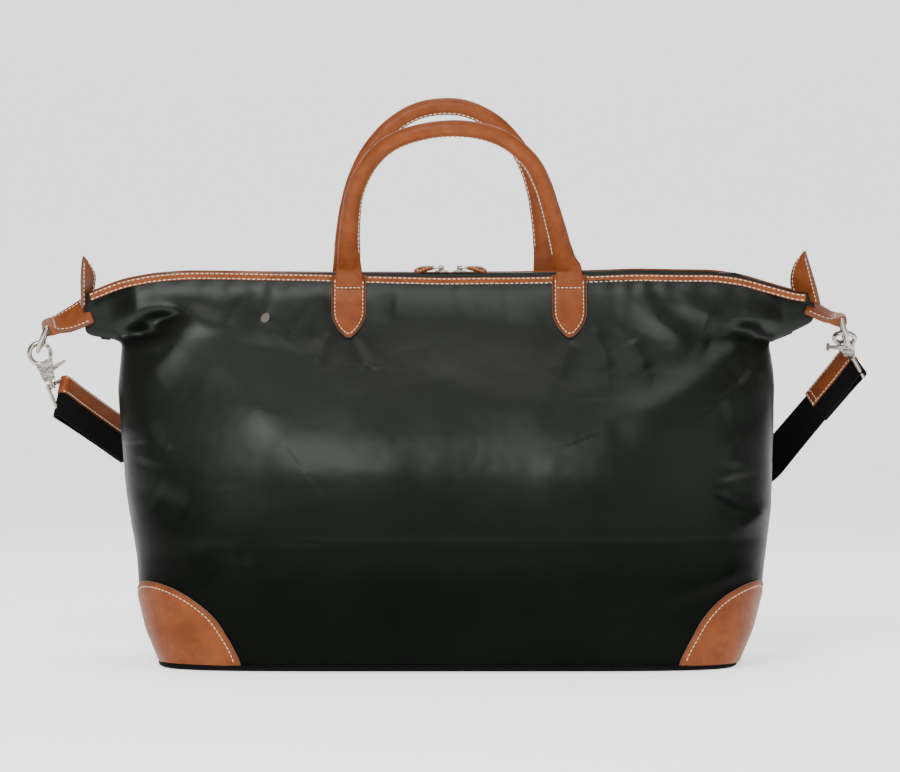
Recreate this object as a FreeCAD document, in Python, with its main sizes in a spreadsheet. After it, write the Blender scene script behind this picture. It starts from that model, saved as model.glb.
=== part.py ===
import FreeCAD, Part
import math
import os
import Sketcher

# Soft weekender bag: zipped fabric body, leather trim, two carry handles and a
# detachable shoulder strap that hangs down behind the bag.
# Frame: +X to the wearer's right, -Y to the front, +Z up, origin under the
# middle of the base. Millimetres.

os.makedirs("parts", exist_ok=True)
doc = FreeCAD.newDocument("weekender_bag")

V = FreeCAD.Vector

# ---------------------------------------------------------------- dimensions
sheet = doc.addObject("Spreadsheet::Sheet", "Size")
DIMENSIONS = [
    ("panel_wall", 2.2),
    ("lining_wall", 0.9),
    ("leather", 1.6),
    ("piping_top", 5.0),
    ("base_width", 466.0),
    ("base_depth", 216.0),
    ("base_corner", 36.0),
    ("piping_wall", 4.0),
    ("base_fabric", 2.5),
    ("board_width", 440.0),
    ("board_depth", 190.0),
    ("board_corner", 26.0),
    ("rim_half_depth", 10.0),
    ("rim_foot", 299.4),
    ("rim_top", 315.0),
    ("rim_flat", 232.0),
    ("rim_end", 262.0),
    ("rim_end_top", 304.6),
    ("wing_start", 259.0),
    ("wing_tip", 292.0),
    ("wing_top", 295.0),
    ("wing_low", 279.0),
    ("wing_root", 268.0),
    ("band_drop", 8.5),
    ("band_wall", 2.0),
    ("band_reach", 288.0),
    ("band_reach_top", 296.3),
    ("tape_wall", 1.0),
    ("tape_end", 258.0),
    ("tape_end_top", 306.0),
    ("coil_outer", 3.6),
    ("coil_inner", 0.6),
    ("coil_high", 2.4),
    ("coil_end", 252.0),
    ("coil_end_top", 308.1),
    ("stop_long", 4.0),
    ("patch_radius", 68.0),
    ("patch_side", 243.0),
    ("patch_front", 100.0),
    ("tab_width", 27.0),
    ("tab_shoulder", 279.0),
    ("tab_point", 266.0),
    ("handle_hinge_depth", 17.0),
    ("handle_hinge_level", 318.0),
    ("handle_neck_radius", 5.0),
    ("handle_ball_radius", 5.7),
    ("handle_radius", 6.5),
    ("handle_core_radius", 4.2),
    ("slider_long", 11.0),
    ("slider_wide", 9.0),
    ("slider_plate", 1.4),
    ("slider_post", 1.0),
    ("pull_wide", 8.0),
    ("pull_long", 17.0),
    ("pull_wall", 2.6),
    ("pull_pin", 0.8),
    ("d_wire", 2.0),
    ("d_radius", 15.0),
    ("d_leg", 6.0),
    ("chape_wide", 24.0),
    ("chape_loop", 4.4),
    ("ear_wide", 26.0),
    ("ear_wall", 2.6),
    ("claw_radius", 8.6),
    ("claw_wire", 2.1),
    ("hook_wall", 6.0),
    ("trigger_wall", 2.0),
    ("rivet_radius", 1.4),
    ("pin_radius", 1.6),
    ("collar_radius", 3.6),
    ("running_gap", 0.05),
    ("eye_wire", 1.6),
    ("loop_radius", 4.0),
    ("strap_width", 30.0),
    ("strap_wall", 2.0),
    ("strap_leather_long", 52.0),
]
# Bag cross-sections from the base up to the rim: height, width, depth, corner.
SECTIONS = [
    ("foot", 5.0, 466.0, 216.0, 36.0),
    ("heel", 70.0, 504.0, 232.0, 60.0),
    ("belly", 130.0, 522.0, 226.0, 70.0),
    ("chest", 185.0, 529.0, 196.0, 70.0),
    ("shoulder", 225.0, 527.0, 140.0, 55.0),
    ("neck", 260.0, 522.0, 76.0, 34.0),
    ("throat", 290.0, 520.0, 36.0, 16.0),
    ("rim", 300.0, 522.0, 20.0, 9.0),
]
for name, height, width, depth, corner in SECTIONS:
    DIMENSIONS.append((name + "_height", height))
    DIMENSIONS.append((name + "_width", width))
    DIMENSIONS.append((name + "_depth", depth))
    DIMENSIONS.append((name + "_corner", corner))
for row, (name, value) in enumerate(DIMENSIONS, start=1):
    sheet.set("A%d" % row, name)
    sheet.set("B%d" % row, str(value))
    sheet.setAlias("B%d" % row, name)
doc.recompute()
S = dict(DIMENSIONS)


# ------------------------------------------------------------------- helpers
def number(expression):
    """Value of an expression over the sheet's names."""
    return float(sheet.evalExpression(expression))


def bind(obj, **expressions):
    """Bind properties to sheet expressions, with dots written as __."""
    for prop, expression in expressions.items():
        obj.setExpression(prop.replace("__", "."), expression)
    return obj


def origin_plane(body, role):
    """One of the body's own origin planes."""
    for feature in body.Origin.OriginFeatures:
        if feature.Role == role:
            return feature


def new_sketch(body, name, role, offset=None):
    """Empty sketch on an origin plane of the body."""
    sketch = body.newObject("Sketcher::SketchObject", name)
    sketch.AttachmentSupport = (origin_plane(body, role), "")
    sketch.MapMode = "FlatFace"
    if offset is not None:
        sketch.AttachmentOffset = offset
    return sketch


def outline(sketch, corners):
    """Closed polygon whose corner positions are sheet expressions."""
    points = [V(number(x), number(y), 0) for x, y in corners]
    count = len(points)
    for i in range(count):
        sketch.addGeometry(Part.LineSegment(points[i], points[(i + 1) % count]))
    for i in range(count):
        sketch.addConstraint(Sketcher.Constraint("Coincident", i, 2, (i + 1) % count, 1))
    for i, (x, y) in enumerate(corners):
        for kind, expression, value in (("DistanceX", x, points[i].x), ("DistanceY", y, points[i].y)):
            index = sketch.addConstraint(Sketcher.Constraint(kind, -1, 1, i, 1, value))
            sketch.setExpression("Constraints[%d]" % index, expression)


def rounded_rectangle(sketch, width, depth, radius):
    """Rounded rectangle centred on the sketch origin, from three expressions."""
    a = number(width) / 2
    b = number(depth) / 2
    r = number(radius)
    corners = [(a - r, b - r, 0), (-a + r, b - r, 90), (-a + r, -b + r, 180), (a - r, -b + r, 270)]
    for x, y, start in corners:
        circle = Part.Circle(V(x, y, 0), V(0, 0, 1), r)
        sketch.addGeometry(Part.ArcOfCircle(circle, math.radians(start), math.radians(start + 90)))
    starts = [(a - r, b), (-a, b - r), (-a + r, -b), (a, -b + r)]
    ends = [(-a + r, b), (-a, -b + r), (a - r, -b), (a, b - r)]
    for (x1, y1), (x2, y2) in zip(starts, ends):
        sketch.addGeometry(Part.LineSegment(V(x1, y1, 0), V(x2, y2, 0)))
    for i in range(4):
        sketch.addConstraint(Sketcher.Constraint("Tangent", i, 2, 4 + i, 1))
        sketch.addConstraint(Sketcher.Constraint("Tangent", 4 + i, 2, (i + 1) % 4, 1))
    for i in range(1, 4):
        sketch.addConstraint(Sketcher.Constraint("Equal", 0, i))
    sketch.addConstraint(Sketcher.Constraint("Horizontal", 4))
    sketch.addConstraint(Sketcher.Constraint("Vertical", 5))
    sketch.addConstraint(Sketcher.Constraint("Symmetric", 4, 2, 6, 2, -1, 1))
    wide = sketch.addConstraint(Sketcher.Constraint("DistanceX", 5, 1, 7, 2, 2 * a))
    deep = sketch.addConstraint(Sketcher.Constraint("DistanceY", 6, 1, 4, 1, 2 * b))
    turn = sketch.addConstraint(Sketcher.Constraint("Radius", 0, r))
    sketch.setExpression("Constraints[%d]" % wide, width)
    sketch.setExpression("Constraints[%d]" % deep, depth)
    sketch.setExpression("Constraints[%d]" % turn, radius)


def level(z):
    """Placement that lifts a flat sketch to a height."""
    return FreeCAD.Placement(V(0, 0, z), FreeCAD.Rotation())


def plate(name, corners, near, far):
    """Plate drawn in the front view (X, Z), reaching from depth near to depth far."""
    body = doc.addObject("PartDesign::Body", name)
    sketch = new_sketch(body, name + "_outline", "XZ_Plane")
    outline(sketch, corners)
    pad = body.newObject("PartDesign::Pad", name + "_pad")
    pad.Profile = sketch
    pad.setExpression("Length", "(%s) - (%s)" % (far, near))
    body.Placement = FreeCAD.Placement(V(0, number(far), 0), FreeCAD.Rotation())
    body.setExpression("Placement.Base.y", far)
    return body


def box(name, x, y, z):
    """Box between three (low, high) pairs of expressions."""
    solid = doc.addObject("Part::Box", name)
    bind(solid, Length="(%s) - (%s)" % (x[1], x[0]), Width="(%s) - (%s)" % (y[1], y[0]))
    bind(solid, Height="(%s) - (%s)" % (z[1], z[0]))
    bind(solid, Placement__Base__x=x[0], Placement__Base__y=y[0], Placement__Base__z=z[0])
    return solid


def along(direction):
    """Rotation that carries +Z onto a direction."""
    return FreeCAD.Rotation(V(0, 0, 1), direction)


def rod(name, start, end, radius):
    """Round rod between two points, its radius an expression."""
    solid = doc.addObject("Part::Cylinder", name)
    solid.setExpression("Radius", radius)
    solid.Height = (end - start).Length
    solid.Placement = FreeCAD.Placement(start, along(end - start))
    return solid


def ball(name, centre, radius):
    """Sphere at a point, its radius an expression."""
    solid = doc.addObject("Part::Sphere", name)
    solid.setExpression("Radius", radius)
    solid.Placement = FreeCAD.Placement(centre, FreeCAD.Rotation())
    return solid


def fuse(name, *shapes):
    """Union of several objects."""
    result = doc.addObject("Part::MultiFuse", name)
    result.Shapes = list(shapes)
    return result


def cut(name, base, tool):
    """Base with the tool taken away."""
    result = doc.addObject("Part::Cut", name)
    result.Base = base
    result.Tool = tool
    return result


def common(name, base, tool):
    """What base and tool share."""
    result = doc.addObject("Part::Common", name)
    result.Base = base
    result.Tool = tool
    return result


nodes = []


def node(label, obj, placement=None):
    """Register a finished sub-part under its file name."""
    obj.Label = label
    if placement is not None:
        obj.Placement = placement
    nodes.append((label, obj))
    return obj


def bag_loft(name, grow, lift="0"):
    """Solid through the bag's cross-sections, grown sideways and lifted at the foot."""
    body = doc.addObject("PartDesign::Body", name)
    sketches = []
    for index, (part, height, width, depth, corner) in enumerate(SECTIONS):
        sketch = new_sketch(body, name + "_" + part, "XY_Plane", level(height))
        raised = "Size.%s_height" % part
        if index == 0:
            raised = raised + " + (%s)" % lift
        sketch.setExpression("AttachmentOffset.Base.z", raised)
        rounded_rectangle(
            sketch,
            "Size.%s_width + 2 * (%s)" % (part, grow),
            "Size.%s_depth + 2 * (%s)" % (part, grow),
            "Size.%s_corner + (%s)" % (part, grow),
        )
        sketches.append(sketch)
    loft = body.newObject("PartDesign::AdditiveLoft", name + "_loft")
    loft.Profile = sketches[0]
    loft.Sections = sketches[1:]
    loft.Ruled = True
    return body


def mirrored(corners, side):
    """The same corners on the left (-1) or right (+1) of the bag."""
    return [("%d * (%s)" % (side, x), y) for x, y in corners]


# ------------------------------------------------------------ fabric and base
outer = bag_loft("bag_outer", "0")
inner = bag_loft("bag_inner", "-Size.panel_wall")
skin = bag_loft("bag_skin", "Size.leather")
pouch = bag_loft("bag_pouch", "-Size.panel_wall - Size.lining_wall", "Size.lining_wall")
doc.recompute()

rim_line = [
    ("-Size.rim_end", "Size.rim_end_top"),
    ("-Size.rim_end", "Size.rim_foot"),
    ("Size.rim_end", "Size.rim_foot"),
    ("Size.rim_end", "Size.rim_end_top"),
    ("Size.rim_flat", "Size.rim_top"),
    ("-Size.rim_flat", "Size.rim_top"),
]
wing_line = [
    ("Size.wing_start", "Size.wing_root"),
    ("Size.wing_tip", "Size.wing_low"),
    ("Size.wing_tip", "Size.wing_top"),
    ("Size.rim_end", "Size.rim_end_top"),
    ("Size.wing_start", "Size.rim_end_top"),
]
FACES = [("front", -1), ("back", 1)]
SIDES = [("left", -1), ("right", 1)]


def depth_span(side, low, high):
    """Near and far depths of a layer that lies low..high away from the middle."""
    if side < 0:
        return "-(%s)" % high, "-(%s)" % low
    return low, high


for face, sign in FACES:
    near, far = depth_span(sign, "0", "200")
    half = box("half_" + face, ("-300", "300"), (near, far), ("0", "330"))
    wall = common("wall_" + face, cut("shell_" + face, outer, inner), half)
    near, far = depth_span(sign, "Size.rim_half_depth - 2", "Size.rim_half_depth")
    pieces = [wall, plate("rim_" + face, rim_line, near, far)]
    near, far = depth_span(sign, "0", "Size.rim_half_depth")
    for end, side in SIDES:
        pieces.append(plate("wing_%s_%s" % (face, end), mirrored(wing_line, side), near, far))
    node(face + "_panel", fuse("panel_" + face, *pieces))

below = box("below_rim", ("-300", "300"), ("-200", "200"), ("0", "299"))
liner = bag_loft("bag_liner", "-Size.panel_wall")
node("lining", common("lining_cut", cut("lining_shell", liner, pouch), below))


def slab(name, width, depth, corner, bottom, top):
    """Flat rounded slab between two heights."""
    body = doc.addObject("PartDesign::Body", name)
    sketch = new_sketch(body, name + "_outline", "XY_Plane", level(number(bottom)))
    sketch.setExpression("AttachmentOffset.Base.z", bottom)
    rounded_rectangle(sketch, width, depth, corner)
    pad = body.newObject("PartDesign::Pad", name + "_pad")
    pad.Profile = sketch
    pad.setExpression("Length", "(%s) - (%s)" % (top, bottom))
    return body


within = ("Size.base_width - 2 * Size.piping_wall", "Size.base_depth - 2 * Size.piping_wall")
corner_within = "Size.base_corner - Size.piping_wall"
node("base_panel", slab("base_slab", within[0], within[1], corner_within, "0", "Size.base_fabric"))
node("base_board", slab("board", "Size.board_width", "Size.board_depth", "Size.board_corner",
                        "Size.base_fabric", "Size.piping_top"))
piping_outer = slab("piping_outer", "Size.base_width", "Size.base_depth", "Size.base_corner",
                    "0", "Size.piping_top")
piping_inner = slab("piping_inner", within[0], within[1], corner_within, "0", "Size.piping_top")
node("base_piping", cut("piping", piping_outer, piping_inner))

# ------------------------------------------------------- leather on the fabric
for face, sign in FACES:
    for end, side in SIDES:
        name = "corner_patch_%s_%s" % (face, end)
        reach = ball("reach_%s_%s" % (face, end), V(0, 0, 0), "Size.patch_radius")
        bind(reach, Placement__Base__x="%d * Size.patch_side" % side)
        bind(reach, Placement__Base__y="%d * Size.patch_front" % sign)
        node(name, common(name + "_shape", cut(name + "_skin", skin, outer), reach))

# Middle of each handle foot along the bag, nudged to how the handles hang.
FEET = {"front": (-80.0, 98.0), "back": (-84.0, 80.0)}
for face, sign in FACES:
    for (end, side), middle in zip(SIDES, FEET[face]):
        name = "handle_tab_%s_%s" % (face, end)
        low = "%g - Size.tab_width / 2" % middle
        high = "%g + Size.tab_width / 2" % middle
        leaf = [
            (low, "Size.tab_shoulder"),
            ("%g" % middle, "Size.tab_point"),
            (high, "Size.tab_shoulder"),
            (high, "Size.rim_height"),
            (low, "Size.rim_height"),
        ]
        near, far = depth_span(sign, "0", "60")
        prism = plate(name + "_prism", leaf, near, far)
        lower = common(name + "_lower", cut(name + "_skin", skin, outer), prism)
        near, far = depth_span(sign, "Size.rim_half_depth", "Size.rim_half_depth + 2 * Size.leather + 0.4")
        bridge = box(name + "_bridge", (low, high), (near, far), ("Size.rim_height", "306.4"))
        near, far = depth_span(sign, "Size.rim_half_depth + Size.band_wall",
                               "Size.rim_half_depth + 2 * Size.leather + 0.4")
        top = box(name + "_top", (low, high), (near, far), ("303", "313"))
        node(name, fuse(name + "_shape", lower, bridge, top))

band_line = [
    ("-Size.band_reach", "Size.band_reach_top"),
    ("-Size.band_reach", "Size.band_reach_top - Size.band_drop"),
    ("-Size.rim_end", "Size.rim_height + 0.2"),
    ("-Size.rim_flat", "Size.rim_top - Size.band_drop"),
    ("Size.rim_flat", "Size.rim_top - Size.band_drop"),
    ("Size.rim_end", "Size.rim_height + 0.2"),
    ("Size.band_reach", "Size.band_reach_top - Size.band_drop"),
    ("Size.band_reach", "Size.band_reach_top"),
    ("Size.rim_flat", "Size.rim_top"),
    ("-Size.rim_flat", "Size.rim_top"),
]


def zip_line(reach, reach_top, drop, thick):
    """Strip that follows the mouth's top line, drop below it and thick high."""
    return [
        ("-(%s)" % reach, "%s - (%s)" % (reach_top, drop)),
        ("-(%s)" % reach, "%s - (%s) - (%s)" % (reach_top, drop, thick)),
        ("-Size.rim_flat", "Size.rim_top - (%s) - (%s)" % (drop, thick)),
        ("Size.rim_flat", "Size.rim_top - (%s) - (%s)" % (drop, thick)),
        (reach, "%s - (%s) - (%s)" % (reach_top, drop, thick)),
        (reach, "%s - (%s)" % (reach_top, drop)),
        ("Size.rim_flat", "Size.rim_top - (%s)" % drop),
        ("-Size.rim_flat", "Size.rim_top - (%s)" % drop),
    ]


for face, sign in FACES:
    near, far = depth_span(sign, "Size.rim_half_depth", "Size.rim_half_depth + Size.band_wall")
    node("top_band_" + face, plate("band_" + face, band_line, near, far))
    tape = zip_line("Size.tape_end", "Size.tape_end_top", "1", "Size.tape_wall")
    near, far = depth_span(sign, "Size.coil_outer", "Size.rim_half_depth - 2")
    node("zip_tape_" + face, plate("tape_" + face, tape, near, far))
    coil = zip_line("Size.coil_end", "Size.coil_end_top", "0.3", "Size.coil_high")
    near, far = depth_span(sign, "Size.coil_inner", "Size.coil_outer")
    node("zip_coil_" + face, plate("coil_" + face, coil, near, far))
for end, side in SIDES:
    low, high = depth_span(side, "Size.coil_end", "Size.coil_end + Size.stop_long")
    node("zip_stop_" + end, box("stop_" + end, (low, high), ("-Size.coil_outer", "Size.coil_outer"),
                                ("Size.coil_end_top - 3.6", "Size.coil_end_top - 0.3")))
doc.recompute()

# -------------------------------------------------------------------- handles
LEANS = {"front": 30.0, "back": -5.0}
PATHS = {
    "front": [(-80, 8), (-77, 74), (-41, 130), (43, 130), (74, 88), (96, 8)],
    "back": [(-84, 8), (-79, 70), (-44, 132), (38, 132), (74, 70), (80, 8)],
}
BEND = 58.0


def rounded_route(points, radius):
    """Straight runs joined by tangent arcs through flat (x, z) points."""
    edges = []
    start = V(points[0][0], points[0][1], 0)
    for i in range(1, len(points) - 1):
        before = V(points[i - 1][0], points[i - 1][1], 0)
        corner = V(points[i][0], points[i][1], 0)
        after = V(points[i + 1][0], points[i + 1][1], 0)
        back = (before - corner).normalize()
        ahead = (after - corner).normalize()
        half = back.getAngle(ahead) / 2
        reach = radius / math.tan(half)
        enter = corner + back * reach
        leave = corner + ahead * reach
        middle = (back + ahead).normalize()
        summit = corner + middle * (radius / math.sin(half) - radius)
        edges.append(Part.LineSegment(start, enter))
        edges.append(Part.Arc(enter, summit, leave))
        start = leave
    edges.append(Part.LineSegment(start, V(points[-1][0], points[-1][1], 0)))
    return edges


def handle_pipe(name, face, hollow):
    """Round handle along its route; hollow keeps room for the rope core."""
    body = doc.addObject("PartDesign::Body", name)
    route = new_sketch(body, name + "_route", "XZ_Plane")
    for index, edge in enumerate(rounded_route(PATHS[face], BEND)):
        route.addGeometry(edge)
        route.addConstraint(Sketcher.Constraint("Block", index))
    start, second = PATHS[face][:2]
    ahead = V(second[0] - start[0], 0, second[1] - start[1])
    square_on = FreeCAD.Placement(V(start[0], 0, start[1]), along(ahead))
    steps = [("Additive", "Size.handle_radius" if hollow else "Size.handle_core_radius")]
    if hollow:
        steps.append(("Subtractive", "Size.handle_core_radius"))
    for kind, radius in steps:
        ring = new_sketch(body, name + "_ring_" + kind, "XY_Plane", square_on)
        ring.addGeometry(Part.Circle(V(0, 0, 0), V(0, 0, 1), number(radius)))
        index = ring.addConstraint(Sketcher.Constraint("Radius", 0, number(radius)))
        ring.setExpression("Constraints[%d]" % index, radius)
        ring.addConstraint(Sketcher.Constraint("Coincident", 0, 3, -1, 1))
        pipe = body.newObject("PartDesign::%sPipe" % kind, name + "_" + kind)
        pipe.Profile = ring
        pipe.Spine = route
        doc.recompute()
    return body


for face, sign in FACES:
    rest = FreeCAD.Placement(
        V(0, sign * S["handle_hinge_depth"], S["handle_hinge_level"]),
        FreeCAD.Rotation(V(1, 0, 0), LEANS[face]),
    )
    pieces = [handle_pipe("cover_" + face, face, True)]
    for (end, side), tip, inward in zip(SIDES, (PATHS[face][0], PATHS[face][-1]),
                                        (PATHS[face][1], PATHS[face][-2])):
        slope = (tip[0] - inward[0]) / (inward[1] - tip[1])
        foot = V(tip[0] + slope * tip[1], 0, 0)
        name = "%s_%s" % (face, end)
        pieces.append(ball("handle_ball_" + name, foot, "Size.handle_ball_radius"))
        pieces.append(rod("handle_neck_" + name, foot, V(tip[0], 0, tip[1]), "Size.handle_neck_radius"))
    node("handle_cover_" + face, fuse("handle_" + face, *pieces), rest)
    node("handle_core_" + face, handle_pipe("core_" + face, face, False), rest)

# ---------------------------------------------------------------- zip sliders
PIN_LEVEL = 318.4
SLIDER_PLACES = {"left": -5.5, "right": 9.5}
LINK_HALF = 3


def across(name, x, z, radius, reach):
    """Round pin along Y at (x, z), reaching the same way front and back."""
    solid = doc.addObject("Part::Cylinder", name)
    bind(solid, Radius=radius, Height="2 * (%s)" % reach)
    solid.Placement = FreeCAD.Placement(V(x, -number(reach), z), FreeCAD.Rotation(V(1, 0, 0), -90))
    return solid


for end, side in SIDES:
    x = SLIDER_PLACES[end]
    half = "Size.slider_long / 2"
    wide = ("-Size.slider_wide / 2", "Size.slider_wide / 2")
    run = ("%g - %s" % (x, half), "%g + %s" % (x, half))
    post = ("-Size.slider_post / 2", "Size.slider_post / 2")
    name = "slider_" + end
    body = fuse(
        name + "_body",
        box(name + "_upper", run, wide, ("315", "315 + Size.slider_plate")),
        box(name + "_lower", run, wide, ("312 - Size.slider_plate", "312")),
        box(name + "_post", ("%g" % (x - 1.5), "%g" % (x + 1.5)), post, ("311.5", "315.5")),
        box(name + "_crown", ("%g" % (x - 2.4), "%g" % (x + 2.4)), ("-1.5", "1.5"), ("316", "320.2")),
    )
    bore = across(name + "_bore", x, PIN_LEVEL, "Size.pull_pin + Size.running_gap", "2")
    node("zip_slider_" + end, cut(name + "_bored", body, bore))
    tip = x + side * 6.6
    sides = (-LINK_HALF, LINK_HALF)
    arms = [rod("%s_arm_%d" % (name, i), V(x, y, PIN_LEVEL), V(tip, y, PIN_LEVEL), "Size.pull_pin")
            for i, y in enumerate(sides)]
    corners = [ball("%s_corner_%d_%d" % (name, i, j), V(px, y, PIN_LEVEL), "Size.pull_pin")
               for i, y in enumerate(sides) for j, px in enumerate((x, tip))]
    axle = across(name + "_axle", x, PIN_LEVEL, "Size.pull_pin", "3")
    crossbar = across(name + "_crossbar", tip, PIN_LEVEL, "Size.pull_pin", "3")
    node("zip_link_" + end, fuse(name + "_link", axle, crossbar, *(arms + corners)))

    low, high = sorted((x + side * 5.0, x + side * (5.0 + S["pull_long"])))
    leather = box(name + "_leather", ("%g" % low, "%g" % high), ("-Size.pull_wide / 2", "Size.pull_wide / 2"),
                  ("%g - Size.pull_wall / 2" % PIN_LEVEL, "%g + Size.pull_wall / 2" % PIN_LEVEL))
    room = [across(name + "_room_bar", tip, PIN_LEVEL, "Size.pull_pin", "3")]
    for i, y in enumerate(sides):
        inner_end = V(x + side * 4, y, PIN_LEVEL)
        outer_end = V(tip, y, PIN_LEVEL)
        room.append(rod("%s_slot_%d" % (name, i), inner_end, outer_end, "Size.pull_pin"))
        room.append(ball("%s_room_%d" % (name, i), outer_end, "Size.pull_pin"))
    node("zip_pull_" + end, cut(name + "_pull", leather, fuse(name + "_room", *room)))

# -------------------------------------------------------- end tabs and D rings
# For each end: the D ring's bar (x, z) and the way the ring hangs (x, z).
RINGS = {"left": ((-324.5, 270.0), (-0.37, -0.929)), "right": ((318.4, 276.0), (0.24, -0.971))}
ROOT_LOW = 280.0
ROOT_HIGH = 289.5


def frame_of(x_axis, z_axis):
    """Rotation whose local X and Z lie along the given directions."""
    y_axis = z_axis.cross(x_axis)
    return FreeCAD.Rotation(x_axis, y_axis, z_axis, "ZXY")


def ring_arc(name, radius, wire, start, sweep, placement):
    """Bent rod in the local XZ plane, its angle counted from +X towards +Z."""
    solid = doc.addObject("Part::Torus", name)
    bind(solid, Radius1=radius, Radius2=wire)
    solid.Angle3 = sweep
    turn = FreeCAD.Rotation(V(1, 0, 0), 90) * FreeCAD.Rotation(V(0, 0, 1), start)
    solid.Placement = placement * FreeCAD.Placement(V(0, 0, 0), turn)
    return solid


D_HOLDS = {}
for end, side in SIDES:
    (bar_x, bar_z), (hang_x, hang_z) = RINGS[end]
    bar = V(bar_x, 0, bar_z)
    hang = V(hang_x, 0, hang_z).normalize()
    across_y = V(0, 1, 0)
    bow = bar + hang * S["d_leg"]
    D_HOLDS[end] = (bow, hang)
    name = "d_" + end
    place = FreeCAD.Placement(bow, frame_of(across_y, hang))
    pieces = [ring_arc(name + "_bow", "Size.d_radius", "Size.d_wire", 0, 180, place)]
    corners = [bar - across_y * S["d_radius"], bar + across_y * S["d_radius"]]
    pieces.append(rod(name + "_bar", corners[0], corners[1], "Size.d_wire"))
    for i, corner in enumerate(corners):
        pieces.append(rod("%s_leg_%d" % (name, i), corner, corner + hang * S["d_leg"], "Size.d_wire"))
        pieces.append(ball("%s_corner_%d" % (name, i), corner, "Size.d_wire"))
    node("d_ring_" + end, fuse(name + "_ring", *pieces))

    root = V(side * S["wing_tip"], 0, (ROOT_LOW + ROOT_HIGH) / 2)
    inward = (root - bar).normalize()
    lift = V(-inward.z, 0, inward.x) * (-side * S["chape_loop"])
    tape = [
        (side * S["wing_tip"], ROOT_HIGH),
        (side * (S["wing_tip"] + S["ear_wall"] + 0.4), ROOT_HIGH),
        ((bar + lift).x, (bar + lift).z),
        ((bar - lift).x, (bar - lift).z),
        (side * S["wing_tip"], ROOT_LOW),
    ]
    strip = plate("chape_strip_" + end, [("%.6f" % px, "%.6f" % pz) for px, pz in tape],
                  "-Size.chape_wide / 2", "Size.chape_wide / 2")
    loop = across("chape_loop_" + end, bar_x, bar_z, "Size.chape_loop", "Size.chape_wide / 2")
    hole = across("chape_hole_" + end, bar_x, bar_z, "Size.d_wire + Size.running_gap", "Size.chape_wide")
    node("end_chape_" + end, cut("chape_" + end, fuse("chape_blank_" + end, strip, loop), hole))

    ear = doc.addObject("PartDesign::Body", "ear_body_" + end)
    leaf = new_sketch(ear, "ear_outline_" + end, "YZ_Plane")
    half = "Size.ear_wide / 2"
    outline(leaf, [
        ("-" + half, "%g" % ROOT_HIGH), (half, "%g" % ROOT_HIGH), (half, "303"), (half + " - 2.4", "315"),
        ("5.6", "326"), ("0.6", "332.5"), ("-0.6", "332.5"), ("-5.6", "326"), ("-%s + 2.4" % half, "315"),
        ("-" + half, "303"),
    ])
    pad = ear.newObject("PartDesign::Pad", "ear_pad_" + end)
    pad.Profile = leaf
    pad.setExpression("Length", "Size.ear_wall")
    shift = S["wing_tip"] if side > 0 else -S["wing_tip"] - S["ear_wall"]
    node("end_ear_" + end, ear, FreeCAD.Placement(V(shift, 0, 0), FreeCAD.Rotation()))

# ----------------------------------------------------------------- snap hooks
# Local hook frame: origin in the claw's middle, +Z away from the strap, +X to
# the trigger. Each strap end runs away from its eye's bar.
left_axis = V(0.342, 0, -0.94).normalize()
right_axis = V(0.25, 0.80, -0.545).normalize()
right_bow, right_hang = D_HOLDS["right"]
left_bow, left_hang = D_HOLDS["left"]
right_side = (right_hang * 0.563 + V(0, 0.826, 0)).normalize()
HOOKS = {
    "left": (left_bow + left_hang * S["d_radius"] + V(1.6, 0, -1.6), left_axis, V(0.94, 0, 0.342)),
    "right": (right_bow + right_side * 17.2, right_axis, V(-1, 0.2, 0)),
}
COLLAR_LEVEL = -26.9
RIVET_X = 1.5
RIVET_Z = -15.0


def hook_place(end):
    """Placement of a hook's local frame."""
    centre, axis, trigger_side = HOOKS[end]
    up = axis * -1
    x_axis = (trigger_side - up * trigger_side.dot(up)).normalize()
    return FreeCAD.Placement(centre, frame_of(x_axis, up))


def flat(name, corners, half_thick):
    """Plate in the hook's front view, the same thickness both ways."""
    named = [("%g" % x, "%g" % z) for x, z in corners]
    return plate(name, named, "-(%s)" % half_thick, half_thick)


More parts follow.
